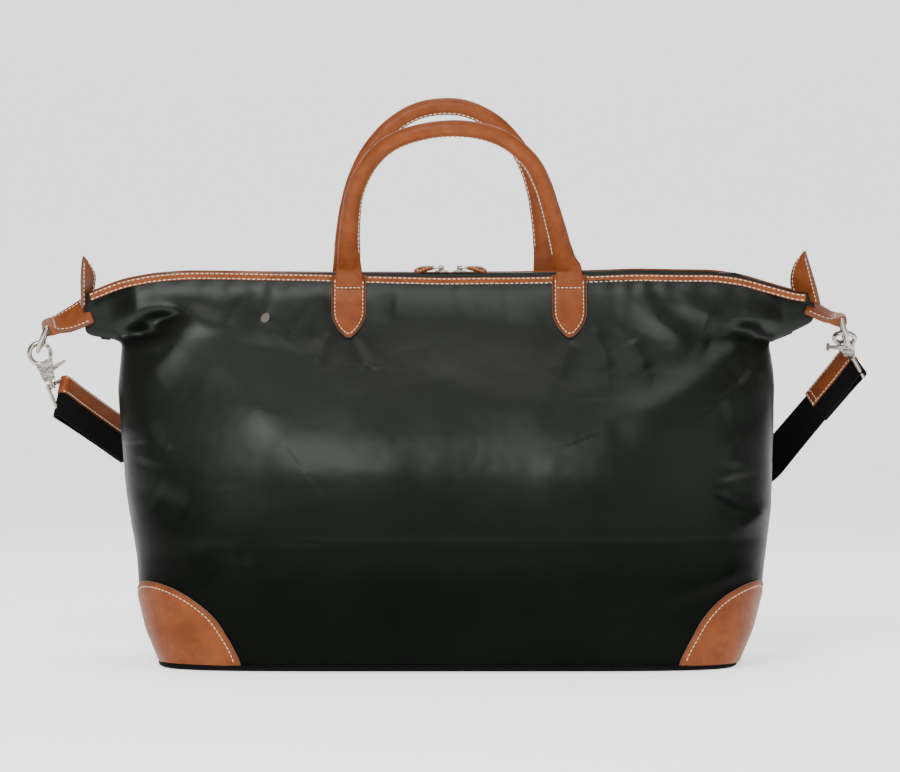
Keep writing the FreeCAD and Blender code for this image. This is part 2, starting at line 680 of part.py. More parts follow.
AT_ORIGIN = FreeCAD.Placement()
EYES = {}
for end, side in SIDES:
    place = hook_place(end)
    name = "hook_" + end
    claw = ring_arc(name + "_claw", "Size.claw_radius", "Size.claw_wire", 40, 260, AT_ORIGIN)
    body = flat(name + "_plate", [(-6.4, -7.4), (6.4, -7.4), (4.6, -23.6), (-4.6, -23.6)],
                "Size.hook_wall / 2")
    pin = rod(name + "_pin", V(0, 0, -23), V(0, 0, -30.4), "Size.pin_radius")
    head = rod(name + "_head", V(0, 0, -28.9), V(0, 0, -30.4), "Size.pin_radius + 1")
    slot = box(name + "_slot", ("-2.4", "16"),
               ("-Size.trigger_wall / 2 - 0.05", "Size.trigger_wall / 2 + 0.05"), ("-19.4", "-3"))
    bore = across(name + "_bore", RIVET_X, RIVET_Z, "Size.rivet_radius", "Size.hook_wall")
    whole = fuse(name + "_whole", claw, body, pin, head)
    node("hook_body_" + end, cut(name + "_body", whole, fuse(name + "_cuts", slot, bore)), place)

    rivet = fuse(
        name + "_rivet",
        across(name + "_shank", RIVET_X, RIVET_Z, "Size.rivet_radius", "Size.hook_wall / 2 + 0.7"),
        rod(name + "_head_near", V(RIVET_X, -3.8, RIVET_Z), V(RIVET_X, -3, RIVET_Z), "2.4"),
        rod(name + "_head_far", V(RIVET_X, 3, RIVET_Z), V(RIVET_X, 3.8, RIVET_Z), "2.4"),
    )
    node("hook_rivet_" + end, rivet, place)

    gate = doc.addObject("Part::Cylinder", name + "_gate")
    gate.Radius = 10.2
    gate.Angle = 84
    gate.Height = S["trigger_wall"]
    gate.Placement = FreeCAD.Placement(
        V(0, S["trigger_wall"] / 2, 0),
        FreeCAD.Rotation(V(1, 0, 0), 90) * FreeCAD.Rotation(V(0, 0, 1), -48),
    )
    hollow = across(name + "_gate_inside", 0, 0, "7", "3")
    arm = flat(name + "_arm", [(RIVET_X - 2, -13.4), (5.6, -16.6), (8.6, -5.6), (5.2, -5.6)],
               "Size.trigger_wall / 2")
    lever = flat(name + "_lever", [(3, -12.4), (16.6, -11.6), (17, -13.6), (3, -17.6)],
                 "Size.trigger_wall / 2")
    thumb = box(name + "_thumb", ("15", "17.2"), ("-3", "3"), ("-14", "-11.4"))
    hub = across(name + "_hub", RIVET_X, RIVET_Z, "3.3", "Size.trigger_wall / 2")
    solid = fuse(name + "_trigger_solid", cut(name + "_gate_bar", gate, hollow), arm, lever, thumb, hub)
    eyelet = across(name + "_eyelet", RIVET_X, RIVET_Z, "Size.rivet_radius + Size.running_gap", "3")
    node("hook_trigger_" + end, cut(name + "_trigger", solid, eyelet), place)

    spring = flat(name + "_leaf", [(-2.2, -19.2), (-1.8, -19.2), (-1.8, -9), (-2.2, -9)], "0.9")
    node("hook_spring_" + end, spring, place)

    centre, axis, _ = HOOKS[end]
    EYES[end] = centre - axis * COLLAR_LEVEL

# ------------------------------------------------------------- shoulder strap
# Bar middle, the way the strap leaves it, and the bar's own direction.
BAR_LEFT = V(-312.4, 3.5, 214.8)
BAR_RIGHT = EYES["right"] + right_axis * 12
RUN_LEFT = V(0.526, 0.726, -0.44).normalize()
RUN_RIGHT = (V(260, 97, 147) - BAR_RIGHT).normalize()


def bar_direction(run, roll):
    """Bar direction square to the strap's run, rolled out of the front view."""
    level_way = V(-run.z, 0, run.x).normalize()
    deep_way = run.cross(level_way)
    angle = math.radians(roll)
    return level_way * math.cos(angle) + deep_way * math.sin(angle)


BARS = {
    "left": (BAR_LEFT, RUN_LEFT, bar_direction(RUN_LEFT, -38.0)),
    "right": (BAR_RIGHT, RUN_RIGHT, bar_direction(RUN_RIGHT, 40.0)),
}
BAR_HALF = 16.5

for end, side in SIDES:
    middle, run, way = BARS[end]
    collar_at = EYES[end]
    axis = HOOKS[end][1]
    name = "eye_" + end
    spread = (way - axis * way.dot(axis)).normalize()
    collar = rod(name + "_collar", collar_at - axis * 1.7, collar_at + axis * 1.7, "Size.collar_radius")
    pieces = [collar]
    corners = [middle - way * BAR_HALF, middle + way * BAR_HALF]
    pieces.append(rod(name + "_bar", corners[0], corners[1], "Size.eye_wire"))
    for i, (corner, way_out) in enumerate(zip(corners, (-1, 1))):
        start = collar_at + spread * (4.5 * way_out)
        pieces.append(rod("%s_rod_%d" % (name, i), start, corner, "Size.eye_wire"))
        pieces.append(ball("%s_shoulder_%d" % (name, i), start, "Size.eye_wire"))
        pieces.append(ball("%s_corner_%d" % (name, i), corner, "Size.eye_wire"))
    bore = rod(name + "_bore", collar_at - axis * 4, collar_at + axis * 4,
               "Size.pin_radius + Size.running_gap")
    eye = fuse(name + "_solid", *pieces)
    node("hook_eye_" + end, cut(name + "_loop", eye, bore))

    place = FreeCAD.Placement(middle, frame_of(run, run.cross(way)))
    half_width = "Size.strap_width / 2"
    long = "%g" % S["strap_leather_long"]
    lip = "Size.strap_wall / 2 + Size.leather"
    tongue = plate("tongue_" + end, [("0", "-3.98"), (long, "-(%s)" % lip), (long, lip), ("0", "3.98")],
                   "-" + half_width, half_width)
    turn = across("turn_" + end, 0, 0, "Size.loop_radius", half_width)
    pocket = box("leather_pocket_" + end, ("14", "60"), ("-30", "30"),
                 ("-Size.strap_wall / 2", "Size.strap_wall / 2"))
    leather = cut("leather_" + end, fuse("leather_blank_" + end, tongue, turn), pocket)
    leather.Placement = place
    node("strap_leather_" + end, cut("leather_fitted_" + end, leather, eye))

# Control points of the webbing's middle line, from the left bar to the right.
ROUTE = [BAR_LEFT + RUN_LEFT * d for d in (14, 33, 52, 90)]
ROUTE += [
    V(-244, 104, 158), V(-212, 124, 138), V(-165, 124, 118), V(-105, 123, 101), V(-35, 122, 89),
    V(35, 122, 88), V(105, 123, 98), V(165, 124, 112), V(212, 124, 128),
]
ROUTE += [BAR_RIGHT + RUN_RIGHT * d for d in (128, 95, 52, 33, 14)]
STATIONS = 72


def route_curve(points):
    """Smooth open curve of degree two over control points."""
    spans = len(points) - 2
    curve = Part.BSplineCurve()
    curve.buildFromPolesMultsKnots(points, [3] + [1] * (spans - 1) + [3], list(range(spans + 1)), False, 2)
    return curve


def straight_box(name, end):
    """Straight end of the webbing that lies inside the leather."""
    middle, run, way = BARS[end]
    solid = box(name, ("14", "Size.strap_leather_long"), ("-Size.strap_width / 2", "Size.strap_width / 2"),
                ("-Size.strap_wall / 2", "Size.strap_wall / 2"))
    holder = doc.addObject("Part::Compound", name + "_placed")
    holder.Links = [solid]
    holder.Placement = FreeCAD.Placement(middle, frame_of(run, run.cross(way)))
    return holder


def webbing_shape():
    """Webbing between the two leather ends, turning as it wraps the back."""
    curve = route_curve(ROUTE)
    begin = curve.parameter(BAR_LEFT + RUN_LEFT * S["strap_leather_long"])
    finish = curve.parameter(BAR_RIGHT + RUN_RIGHT * S["strap_leather_long"])
    up_left = BARS["left"][2]
    up_right = BARS["right"][2]
    up_left = up_left if up_left.z > 0 else up_left * -1
    up_right = up_right if up_right.z > 0 else up_right * -1
    half_width = S["strap_width"] / 2
    half_wall = S["strap_wall"] / 2
    wires = []
    for i in range(STATIONS + 1):
        share = i / STATIONS
        u = begin + (finish - begin) * share
        here = curve.value(u)
        ahead = curve.tangent(u)[0]
        ease_left = max(0.0, 1 - share / 0.22)
        ease_right = max(0.0, 1 - (1 - share) / 0.22)
        ease_left = ease_left * ease_left * (3 - 2 * ease_left)
        ease_right = ease_right * ease_right * (3 - 2 * ease_right)
        up = up_left * ease_left + up_right * ease_right + V(0, 0, 1) * (1 - ease_left - ease_right)
        up = (up - ahead * up.dot(ahead)).normalize()
        flat_way = ahead.cross(up)
        corners = [here + up * (a * half_width) + flat_way * (b * half_wall)
                   for a, b in ((1, 1), (1, -1), (-1, -1), (-1, 1))]
        wires.append(Part.makePolygon(corners + [corners[0]]))
    return Part.makeLoft(wires, True, True)


middle_run = doc.addObject("Part::Feature", "webbing_middle")
middle_run.Shape = webbing_shape()
webbing = fuse("webbing", middle_run, straight_box("webbing_end_left", "left"),
               straight_box("webbing_end_right", "right"))
node("strap_webbing", webbing)

# --------------------------------------------------------------------- export
doc.recompute()
for label, obj in nodes:
    bad = [state for state in obj.State if state in ("Invalid", "Error")]
    if bad or obj.Shape.isNull() or not obj.Shape.isValid():
        raise RuntimeError("%s did not build: %s" % (label, obj.State))
for obj in doc.Objects:
    if "Invalid" in obj.State or "Error" in obj.State:
        raise RuntimeError("%s failed: %s" % (obj.Name, obj.State))
for label, obj in nodes:
    obj.Shape.exportStep("parts/%s.step" % label)
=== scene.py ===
import math

import bpy
import numpy as np
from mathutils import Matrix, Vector, noise


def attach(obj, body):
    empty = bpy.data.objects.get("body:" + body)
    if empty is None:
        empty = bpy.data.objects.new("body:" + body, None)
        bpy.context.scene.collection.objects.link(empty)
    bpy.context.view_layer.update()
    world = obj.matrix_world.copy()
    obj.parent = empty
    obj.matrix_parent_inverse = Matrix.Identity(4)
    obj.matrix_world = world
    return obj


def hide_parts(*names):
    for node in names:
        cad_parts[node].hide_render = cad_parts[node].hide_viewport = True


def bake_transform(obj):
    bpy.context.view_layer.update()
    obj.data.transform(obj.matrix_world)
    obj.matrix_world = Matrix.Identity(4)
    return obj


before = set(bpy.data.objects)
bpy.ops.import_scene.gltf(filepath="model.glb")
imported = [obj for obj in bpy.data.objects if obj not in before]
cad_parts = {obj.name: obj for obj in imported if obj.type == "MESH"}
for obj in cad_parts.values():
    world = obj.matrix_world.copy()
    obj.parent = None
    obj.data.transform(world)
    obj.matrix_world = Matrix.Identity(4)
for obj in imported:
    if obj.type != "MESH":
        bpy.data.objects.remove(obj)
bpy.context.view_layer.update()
MM = 0.001


# ------------------------------------------------------------ camera and light
def look_at(obj, target):
    """Turn an object's -Z towards a point."""
    way = Vector(target) - obj.location
    obj.rotation_euler = way.to_track_quat("-Z", "Y").to_euler()


CAMERA_TARGET = Vector((0.0016, 0.0, 0.2225))
CAMERA_DISTANCE = 4.5
CAMERA_RISE = math.radians(2.5)
camera_data = bpy.data.cameras.new("camera")
camera_data.lens = 222
camera_data.sensor_width = 36
camera = bpy.data.objects.new("camera", camera_data)
bpy.context.scene.collection.objects.link(camera)
camera_way = Vector((0, -math.cos(CAMERA_RISE), math.sin(CAMERA_RISE)))
camera.location = CAMERA_TARGET + CAMERA_DISTANCE * camera_way
look_at(camera, CAMERA_TARGET)
bpy.context.scene.camera = camera


def area_light(name, place, target, size, power):
    """Soft square light aimed at a point."""
    data = bpy.data.lights.new(name, "AREA")
    data.shape = "SQUARE"
    data.size = size
    data.energy = power
    lamp = bpy.data.objects.new(name, data)
    bpy.context.scene.collection.objects.link(lamp)
    lamp.location = place
    look_at(lamp, target)
    return lamp


area_light("key", (-0.5, -1.7, 1.5), (0, 0, 0.2), 0.9, 46)
area_light("fill", (1.6, -1.6, 0.9), (0, 0, 0.2), 1.3, 10)
area_light("top", (0.1, 0.2, 1.9), (0, 0, 0.2), 1.2, 14)
area_light("rear", (0.0, 1.2, 1.2), (0, 0, 0.2), 1.0, 6)
world = bpy.data.worlds.new("studio")
world.use_nodes = True
world.node_tree.nodes["Background"].inputs["Color"].default_value = (1, 1, 1, 1)
world.node_tree.nodes["Background"].inputs["Strength"].default_value = 0.22
bpy.context.scene.world = world


# ------------------------------------------------------------------- materials
class Look:
    """Small helper around one node material."""

    def __init__(self, name, color, roughness, metallic=0.0):
        self.material = bpy.data.materials.new(name)
        self.material.use_nodes = True
        self.tree = self.material.node_tree
        self.shader = self.tree.nodes["Principled BSDF"]
        self.shader.inputs["Base Color"].default_value = (*color, 1)
        self.shader.inputs["Roughness"].default_value = roughness
        self.shader.inputs["Metallic"].default_value = metallic
        self.coordinates = self.tree.nodes.new("ShaderNodeTexCoord").outputs["Object"]
        self.bump_normal = None

    def noise(self, scale, detail=3.0, roughness=0.55, stretch=(1, 1, 1)):
        """Noise value over the object's own space, per metre."""
        mapping = self.tree.nodes.new("ShaderNodeMapping")
        mapping.inputs["Scale"].default_value = stretch
        self.tree.links.new(self.coordinates, mapping.inputs["Vector"])
        node = self.tree.nodes.new("ShaderNodeTexNoise")
        node.inputs["Scale"].default_value = scale
        node.inputs["Detail"].default_value = detail
        node.inputs["Roughness"].default_value = roughness
        self.tree.links.new(mapping.outputs["Vector"], node.inputs["Vector"])
        return node.outputs["Fac"]

    def cells(self, scale):
        """Distance to a cell's edge, for pebbled grain."""
        node = self.tree.nodes.new("ShaderNodeTexVoronoi")
        node.feature = "DISTANCE_TO_EDGE"
        node.inputs["Scale"].default_value = scale
        self.tree.links.new(self.coordinates, node.inputs["Vector"])
        return node.outputs["Distance"]

    def wave(self, scale, direction):
        """Fine parallel ribs."""
        node = self.tree.nodes.new("ShaderNodeTexWave")
        node.bands_direction = direction
        node.inputs["Scale"].default_value = scale
        node.inputs["Distortion"].default_value = 0.4
        self.tree.links.new(self.coordinates, node.inputs["Vector"])
        return node.outputs["Fac"]

    def tint(self, value, dark, light, low=0.35, high=0.65):
        """Base colour between two tones."""
        ramp = self.tree.nodes.new("ShaderNodeValToRGB")
        ramp.color_ramp.elements[0].position = low
        ramp.color_ramp.elements[0].color = (*dark, 1)
        ramp.color_ramp.elements[1].position = high
        ramp.color_ramp.elements[1].color = (*light, 1)
        self.tree.links.new(value, ramp.inputs["Fac"])
        self.tree.links.new(ramp.outputs["Color"], self.shader.inputs["Base Color"])

    def rough(self, value, low, high):
        """Roughness that varies between two values."""
        node = self.tree.nodes.new("ShaderNodeMapRange")
        node.inputs["To Min"].default_value = low
        node.inputs["To Max"].default_value = high
        self.tree.links.new(value, node.inputs["Value"])
        self.tree.links.new(node.outputs["Result"], self.shader.inputs["Roughness"])

    def painted_light_by_height(self, start, end, dull, bright):
        """Shine that grows with the height above the floor, in metres: painted shade that dulls the low cloth
        and painted highlight higher up, set by height rather than by the lamps.
        """
        height = self.tree.nodes.new("ShaderNodeSeparateXYZ")
        self.tree.links.new(self.coordinates, height.inputs["Vector"])
        node = self.tree.nodes.new("ShaderNodeMapRange")
        node.inputs["From Min"].default_value = start
        node.inputs["From Max"].default_value = end
        node.inputs["To Min"].default_value = dull
        node.inputs["To Max"].default_value = bright
        self.tree.links.new(height.outputs["Z"], node.inputs["Value"])
        self.tree.links.new(node.outputs["Result"], self.shader.inputs["Specular IOR Level"])

    def bump(self, value, strength, distance):
        """Surface relief, stacked on any relief already there."""
        node = self.tree.nodes.new("ShaderNodeBump")
        node.inputs["Strength"].default_value = strength
        node.inputs["Distance"].default_value = distance
        self.tree.links.new(value, node.inputs["Height"])
        if self.bump_normal is not None:
            self.tree.links.new(self.bump_normal, node.inputs["Normal"])
        self.bump_normal = node.outputs["Normal"]
        self.tree.links.new(self.bump_normal, self.shader.inputs["Normal"])


nylon = Look("satin_nylon", (0.0028, 0.0034, 0.0028), 0.42)
nylon.tint(nylon.noise(9, 4), (0.0022, 0.0027, 0.0022), (0.0036, 0.0043, 0.0036))
nylon.rough(nylon.noise(35, 3), 0.36, 0.46)
nylon.bump(nylon.noise(45, 4, 0.5), 0.2, 0.0008)
nylon.bump(nylon.wave(620, "X"), 0.12, 0.0001)
nylon.bump(nylon.wave(620, "Z"), 0.12, 0.0001)
# Painted shade on the cloth below 0.07 m, which gets little shine, and painted highlight from 0.20 m up,
# which gets full shine.
nylon.painted_light_by_height(0.07, 0.20, 0.03, 0.26)
nylon.shader.inputs["Specular Tint"].default_value = (0.93, 1.0, 0.93, 1)

leather = Look("tan_leather", (0.185, 0.044, 0.008), 0.5)
leather.tint(leather.noise(55, 5, 0.65), (0.15, 0.033, 0.0055), (0.215, 0.055, 0.012))
leather.rough(leather.noise(240, 3), 0.38, 0.6)
leather.bump(leather.cells(900), 0.35, 0.0003)
leather.bump(leather.noise(170, 4), 0.4, 0.0006)
leather.shader.inputs["Specular IOR Level"].default_value = 0.2

edge = Look("leather_edge", (0.11, 0.045, 0.022), 0.55)
edge.bump(edge.noise(500, 3), 0.4, 0.0002)

thread = Look("cream_thread", (0.74, 0.62, 0.47), 0.75)
thread.bump(thread.wave(1400, "DIAGONAL"), 0.5, 0.0001)

webbing = Look("black_webbing", (0.0035, 0.0035, 0.0038), 0.85)
webbing.bump(webbing.wave(230, "DIAGONAL"), 0.6, 0.0004)
webbing.bump(webbing.noise(700, 2), 0.3, 0.0002)
webbing.shader.inputs["Specular IOR Level"].default_value = 0.08

coil = Look("zip_nylon", (0.006, 0.006, 0.006), 0.4)
coil.bump(coil.noise(900, 2), 0.2, 0.0001)

lining = Look("lining_cloth", (0.10, 0.085, 0.07), 0.8)
lining.bump(lining.wave(700, "X"), 0.3, 0.0001)

nickel = Look("nickel", (0.46, 0.41, 0.35), 0.22, 1.0)
nickel.rough(nickel.noise(300, 3), 0.14, 0.34)
nickel.bump(nickel.noise(140, 2), 0.5, 0.0012)

board = Look("board_plastic", (0.03, 0.03, 0.03), 0.6)
board.bump(board.noise(300, 2), 0.2, 0.0002)

floor_look = Look("floor", (0.9, 0.9, 0.9), 0.8)
floor_look.bump(floor_look.noise(25, 2), 0.02, 0.0005)
floor_look.shader.inputs["Specular IOR Level"].default_value = 0.1
floor_look.shader.inputs["Emission Color"].default_value = (1, 1, 1, 1)
floor_look.shader.inputs["Emission Strength"].default_value = 1.25


# --------------------------------------------------------------------- helpers
def mesh_piece(name, verts, faces, look, smooth=True):
    """New object from points in millimetres."""
    mesh = bpy.data.meshes.new(name)
    mesh.from_pydata([tuple(c * MM for c in v) for v in verts], [], faces)
    mesh.validate()
    mesh.materials.append(look.material)
    if smooth:
        mesh.shade_smooth()
    obj = bpy.data.objects.new(name, mesh)
    bpy.context.scene.collection.objects.link(obj)
    return obj


def grid_faces(rows, columns, wrap=False, flip=False):
    """Quads of a rows x columns grid of points."""
    faces = []
    last = columns if wrap else columns - 1
    for i in range(rows - 1):
        for j in range(last):
            k = (j + 1) % columns
            quad = (i * columns + j, i * columns + k, (i + 1) * columns + k, (i + 1) * columns + j)
            faces.append(quad[::-1] if flip else quad)
    return faces


def unit(vectors):
    """Rows scaled to length one."""
    vectors = np.asarray(vectors, float)
    size = np.linalg.norm(vectors, axis=-1, keepdims=True)
    return vectors / np.maximum(size, 1e-9)


def smoothstep(value):
    """Eased 0 to 1."""
    return value ** 2 * (3 - 2 * value)


def run_along(points):
    """Length along a polyline at each of its points."""
    return np.concatenate([[0], np.cumsum(np.linalg.norm(np.diff(points, axis=0), axis=1))])


def resample(points, step):
    """Points spaced evenly along a polyline."""
    points = np.asarray(points, float)
    run = run_along(points)
    count = max(2, int(round(run[-1] / step)) + 1)
    want = np.linspace(0, run[-1], count)
    return np.stack([np.interp(want, run, points[:, k]) for k in range(points.shape[1])], axis=1)


def oval(half_wide, half_tall, sides=6):
    """Closed oval profile, as (side, up) points."""
    angles = [k * math.pi / (sides / 2) for k in range(sides)]
    return [(half_wide * math.cos(angle), half_tall * math.sin(angle)) for angle in angles]


# One raised stitch: place along it, share of its radius and share of its lift.
STITCH_RINGS = ((0, 0.35, -0.25), (0.18, 0.9, 0.6), (0.5, 1.0, 1.0), (0.82, 0.9, 0.6), (1, 0.35, -0.25))


class Shape:
    """Collects several closed or open parts into one mesh."""

    def __init__(self):
        self.verts = []
        self.faces = []

    def add(self, verts, faces):
        """Take in one part's points and faces."""
        base = len(self.verts)
        self.verts.extend([tuple(v) for v in verts])
        self.faces.extend([tuple(base + i for i in f) for f in faces])

    def tube(self, centre, side, up, profile):
        """Skin a (side, up) profile, or profile(i), along a line, with capped ends."""
        rings = []
        for i in range(len(centre)):
            outline = profile(i) if callable(profile) else profile
            rings.append([centre[i] + side[i] * a + up[i] * b for a, b in outline])
        count = len(rings[0])
        verts = [p for ring in rings for p in ring]
        faces = grid_faces(len(rings), count, wrap=True)
        faces.append(tuple(range(count))[::-1])
        faces.append(tuple(range((len(rings) - 1) * count, len(rings) * count)))
        self.add(verts, faces)

    def bead(self, line, normal, profile):
        """Tube along a line that lies on a surface."""
        side = np.cross(unit(np.gradient(line, axis=0)), normal)
        self.tube(line, side, normal, profile)

    def stitches(self, line, normal, pitch=4.0, share=0.72, radius=0.42, lift=0.15):
        """Raised thread stitches along a line that lies on a surface."""
        line = np.asarray(line, float)
        normal = np.asarray(normal, float)
        both = resample(np.hstack([line, normal]), pitch)
        points, ups = both[:, :3], unit(both[:, 3:])
        for i in range(len(points) - 1):
            a = points[i]
            b = points[i] + (points[i + 1] - points[i]) * share
            up = ups[i]
            way = unit((b - a)[None])[0]
            side = np.cross(way, up)
            rings = []
            for t, r, h in STITCH_RINGS:
                centre = a + (b - a) * t + up * (lift * h)
                for k in range(6):
                    angle = k * math.pi / 3
                    rings.append(centre + (side * math.cos(angle) + up * math.sin(angle)) * radius * r)
            faces = grid_faces(5, 6, wrap=True)
            faces += [(5, 4, 3, 2, 1, 0), (24, 25, 26, 27, 28, 29)]
            self.add(rings, faces)

    def make(self, name, look, body, replaces=(), smooth=True):
        """Build the mesh and let it ride on a body in place of CAD nodes."""
        obj = mesh_piece(name, self.verts, self.faces, look, smooth)
        if body:
            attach(obj, body)
        if replaces:
            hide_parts(*replaces)
        return obj


def rounded_slab(width, thick, corner=0.35, steps=3):
    """Closed rounded-rectangle profile, as (side, up) points."""
    a, b = width / 2, thick / 2
    r = min(corner * thick, a, b)
    points = []
    corners = ((a - r, b - r, 0), (-a + r, b - r, 90), (-a + r, -b + r, 180), (a - r, -b + r, 270))
    for cx, cy, start in corners:
        for k in range(steps + 1):
            angle = math.radians(start + 90 * k / steps)
            points.append((cx + r * math.cos(angle), cy + r * math.sin(angle)))
    return points


# ------------------------------------------------------------- shoulder strap
# Control points of the webbing's middle line, in metres, from the left end.
STRAP_ROUTE = [
    (-0.30503, 0.01368, 0.20863), (-0.29502, 0.02749, 0.20026), (-0.28501, 0.04130, 0.19189),
    (-0.26500, 0.06893, 0.17515), (-0.244, 0.104, 0.158), (-0.212, 0.124, 0.138), (-0.165, 0.124, 0.118),
    (-0.105, 0.123, 0.101), (-0.035, 0.122, 0.089), (0.035, 0.122, 0.088), (0.105, 0.123, 0.098),
    (0.165, 0.124, 0.112), (0.212, 0.124, 0.128), (0.26005, 0.09697, 0.14706), (0.27857, 0.08366, 0.17091),
    (0.30270, 0.06631, 0.20199), (0.31337, 0.05865, 0.21572), (0.32403, 0.05099, 0.22945),
]
STRAP_WIDTH = 0.030
# Each end's bar: middle (millimetres) and the direction of the strap's upper edge.
STRAP_BARS = {
    "left": ((-312.4, 3.5, 214.8), (0.16231, 0.42276, 0.89159)),
    "right": ((331.891, 45.34, 239.566), (-0.445984, 0.588186, 0.674637)),
}
BAR_TO_WEBBING = 14.0
LEATHER_LONG = 52.0
# Share of the strap's length over which it turns from a bar's angle to upright.
TURN_SHARE = 0.22


def route_points():
    """Points along the strap's smooth line, in metres."""
    data = bpy.data.curves.new("strap_route", "CURVE")
    data.dimensions = "3D"
    data.resolution_u = 16
    spline = data.splines.new("NURBS")
    spline.points.add(len(STRAP_ROUTE) - 1)
    for point, place in zip(spline.points, STRAP_ROUTE):
        point.co = (*place, 1)
    spline.order_u = 3
    spline.use_endpoint_u = True
    holder = bpy.data.objects.new("strap_route", data)
    mesh = bpy.data.meshes.new_from_object(holder)
    points = [tuple(v.co) for v in mesh.vertices]
    bpy.data.meshes.remove(mesh)
    bpy.data.objects.remove(holder)
    bpy.data.curves.remove(data)
    return points


STRAP_POINTS = route_points()
strap_line = np.array(STRAP_POINTS) * 1000
strap_way = unit(np.gradient(strap_line, axis=0))
strap_run = run_along(strap_line)


def strap_upward():
    """Direction of the strap's upper edge along it, turned to each bar near the ends."""
    inside = LEATHER_LONG - BAR_TO_WEBBING
    first = np.searchsorted(strap_run, inside)
    last = np.searchsorted(strap_run, strap_run[-1] - inside)
    share = (np.arange(len(strap_line)) - first) / (last - first)
    ease_left = smoothstep(np.clip(1 - share / TURN_SHARE, 0, 1))[:, None]
    ease_right = smoothstep(np.clip(1 - (1 - share) / TURN_SHARE, 0, 1))[:, None]
    upward = (np.array(STRAP_BARS["left"][1]) * ease_left + np.array(STRAP_BARS["right"][1]) * ease_right
              + np.array([0, 0, 1.0]) * (1 - ease_left - ease_right))
    return unit(upward - strap_way * (upward * strap_way).sum(axis=1, keepdims=True))


strap_up = strap_upward()
band = Shape()
band.tube(strap_line, strap_up, np.cross(strap_way, strap_up), rounded_slab(STRAP_WIDTH * 1000, 2.0, 0.45, 3))
strap_band = band.make("strap_band", webbing, "strap", ["strap_webbing"])


def strap_frame(end, far):
    """Middle, upward and camera-side directions at distances from an end's bar."""
    bar, up = (np.array(v, float) for v in STRAP_BARS[end])
    first_point = strap_line[0] if end == "left" else strap_line[-1]
    way = unit((first_point - bar)[None])[0]
    far = np.atleast_1d(np.asarray(far, float))
    run = strap_run if end == "left" else (strap_run[-1] - strap_run)[::-1]
    order = slice(None) if end == "left" else slice(None, None, -1)
    middle = np.empty((len(far), 3))
    upward = np.empty((len(far), 3))
    for axis in range(3):
        middle[:, axis] = np.interp(far - BAR_TO_WEBBING, run, strap_line[order, axis])
        upward[:, axis] = np.interp(far - BAR_TO_WEBBING, run, strap_up[order, axis])
    near = far < BAR_TO_WEBBING
    middle[near] = bar + way * far[near, None]
    upward[near] = up
    along = unit(np.gradient(middle, axis=0))
    camera_side = np.cross(along, unit(upward))
    camera_side = camera_side * np.where(camera_side[:, 1:2] > 0, -1, 1)
    return middle, unit(upward), unit(camera_side)


def hairpin(end, front_long, back_long, gap, low, high):
    """Layer folded round an end's bar, between two places across the strap."""
    front = np.linspace(front_long, 0, int(front_long / 1.5))
    back = np.linspace(0, back_long, int(back_long / 1.5))
    centre, side, up = [], [], []
    tall = (low + high) / 2
    for sign, far in ((1, front), (-1, back)):
        middle, upward, camera_side = strap_frame(end, far)
        away = np.interp(far, [0, 16, 60], [4.1 - gap, 2.9 - gap, 2.0 - gap])[:, None] * sign
        centre.append(middle + upward * tall + camera_side * away)
        side.append(upward)
        up.append(camera_side * sign)
        if sign > 0:
            bar, upward_0, out_0 = middle[-1], upward[-1], camera_side[-1]
            back_way = unit((middle[-1] - middle[-2])[None])[0]
            turn = np.linspace(0, math.pi, 11)[1:-1]
            ring = out_0 * np.cos(turn)[:, None] + back_way * np.sin(turn)[:, None]
            centre.append(bar + upward_0 * tall + ring * (4.1 - gap))
            side.append(np.tile(upward_0, (len(turn), 1)))
            up.append(ring)
    return np.vstack(centre), np.vstack(side), np.vstack(up), len(front)


def strap_end(end, front_long, fold_low):
    """Leather cover, webbing fold and stitches at one end of the strap."""
    strip = Shape()
    centre, side, up, count = hairpin(end, front_long, LEATHER_LONG, 0.0, 0.6, 15.6)
    strip.tube(centre, side, up, rounded_slab(15.0, 1.7, 0.35, 3))
    under = Shape()
    centre_low, side_low, up_low, _ = hairpin(end, front_long, front_long, 0.5, fold_low, 0.4)
    under.tube(centre_low, side_low, up_low, rounded_slab(0.4 - fold_low, 1.9, 0.4, 3))
    sewn = Shape()
    shown = slice(0, count + 4)
    for across in (6.1, -6.1):
        seam = centre[shown] + side[shown] * across + up[shown] * 0.85
        sewn.stitches(seam, up[shown], 3.6)
    if end == "right":
        for far in (2.5, 6.5):
            k = int(far / 1.5)
            seam = np.stack([centre[k] + side[k] * t + up[k] * 0.85 for t in np.linspace(-6, 6, 7)])
            sewn.stitches(seam, np.tile(up[k], (7, 1)), 3.0)
    return [
        strip.make("strap_end_%s_leather" % end, leather, "strap", ["strap_leather_" + end]),
        under.make("strap_end_%s_fold" % end, webbing, "strap"),
        sewn.make("strap_end_%s_stitch" % end, thread, "strap"),
    ]


strap_leathers = strap_end("left", 92.0, -20.0) + strap_end("right", LEATHER_LONG, -15.2)


# ------------------------------------------------------------ fabric body shape
def curve(table, sigma, low=-40, high=380, reach=24):
    """Smooth curve through (place, value) pairs, as a function."""
    place, value = np.array(table, float).T
    fine = np.arange(low, high + 1, 1.0)
    rough = np.interp(fine, place, value)
    kernel = np.exp(-0.5 * (np.arange(-reach, reach + 1) / sigma) ** 2)
    kernel /= kernel.sum()
    smooth = np.convolve(np.pad(rough, reach, mode="edge"), kernel, mode="valid")
    return lambda at: np.interp(at, fine, smooth)


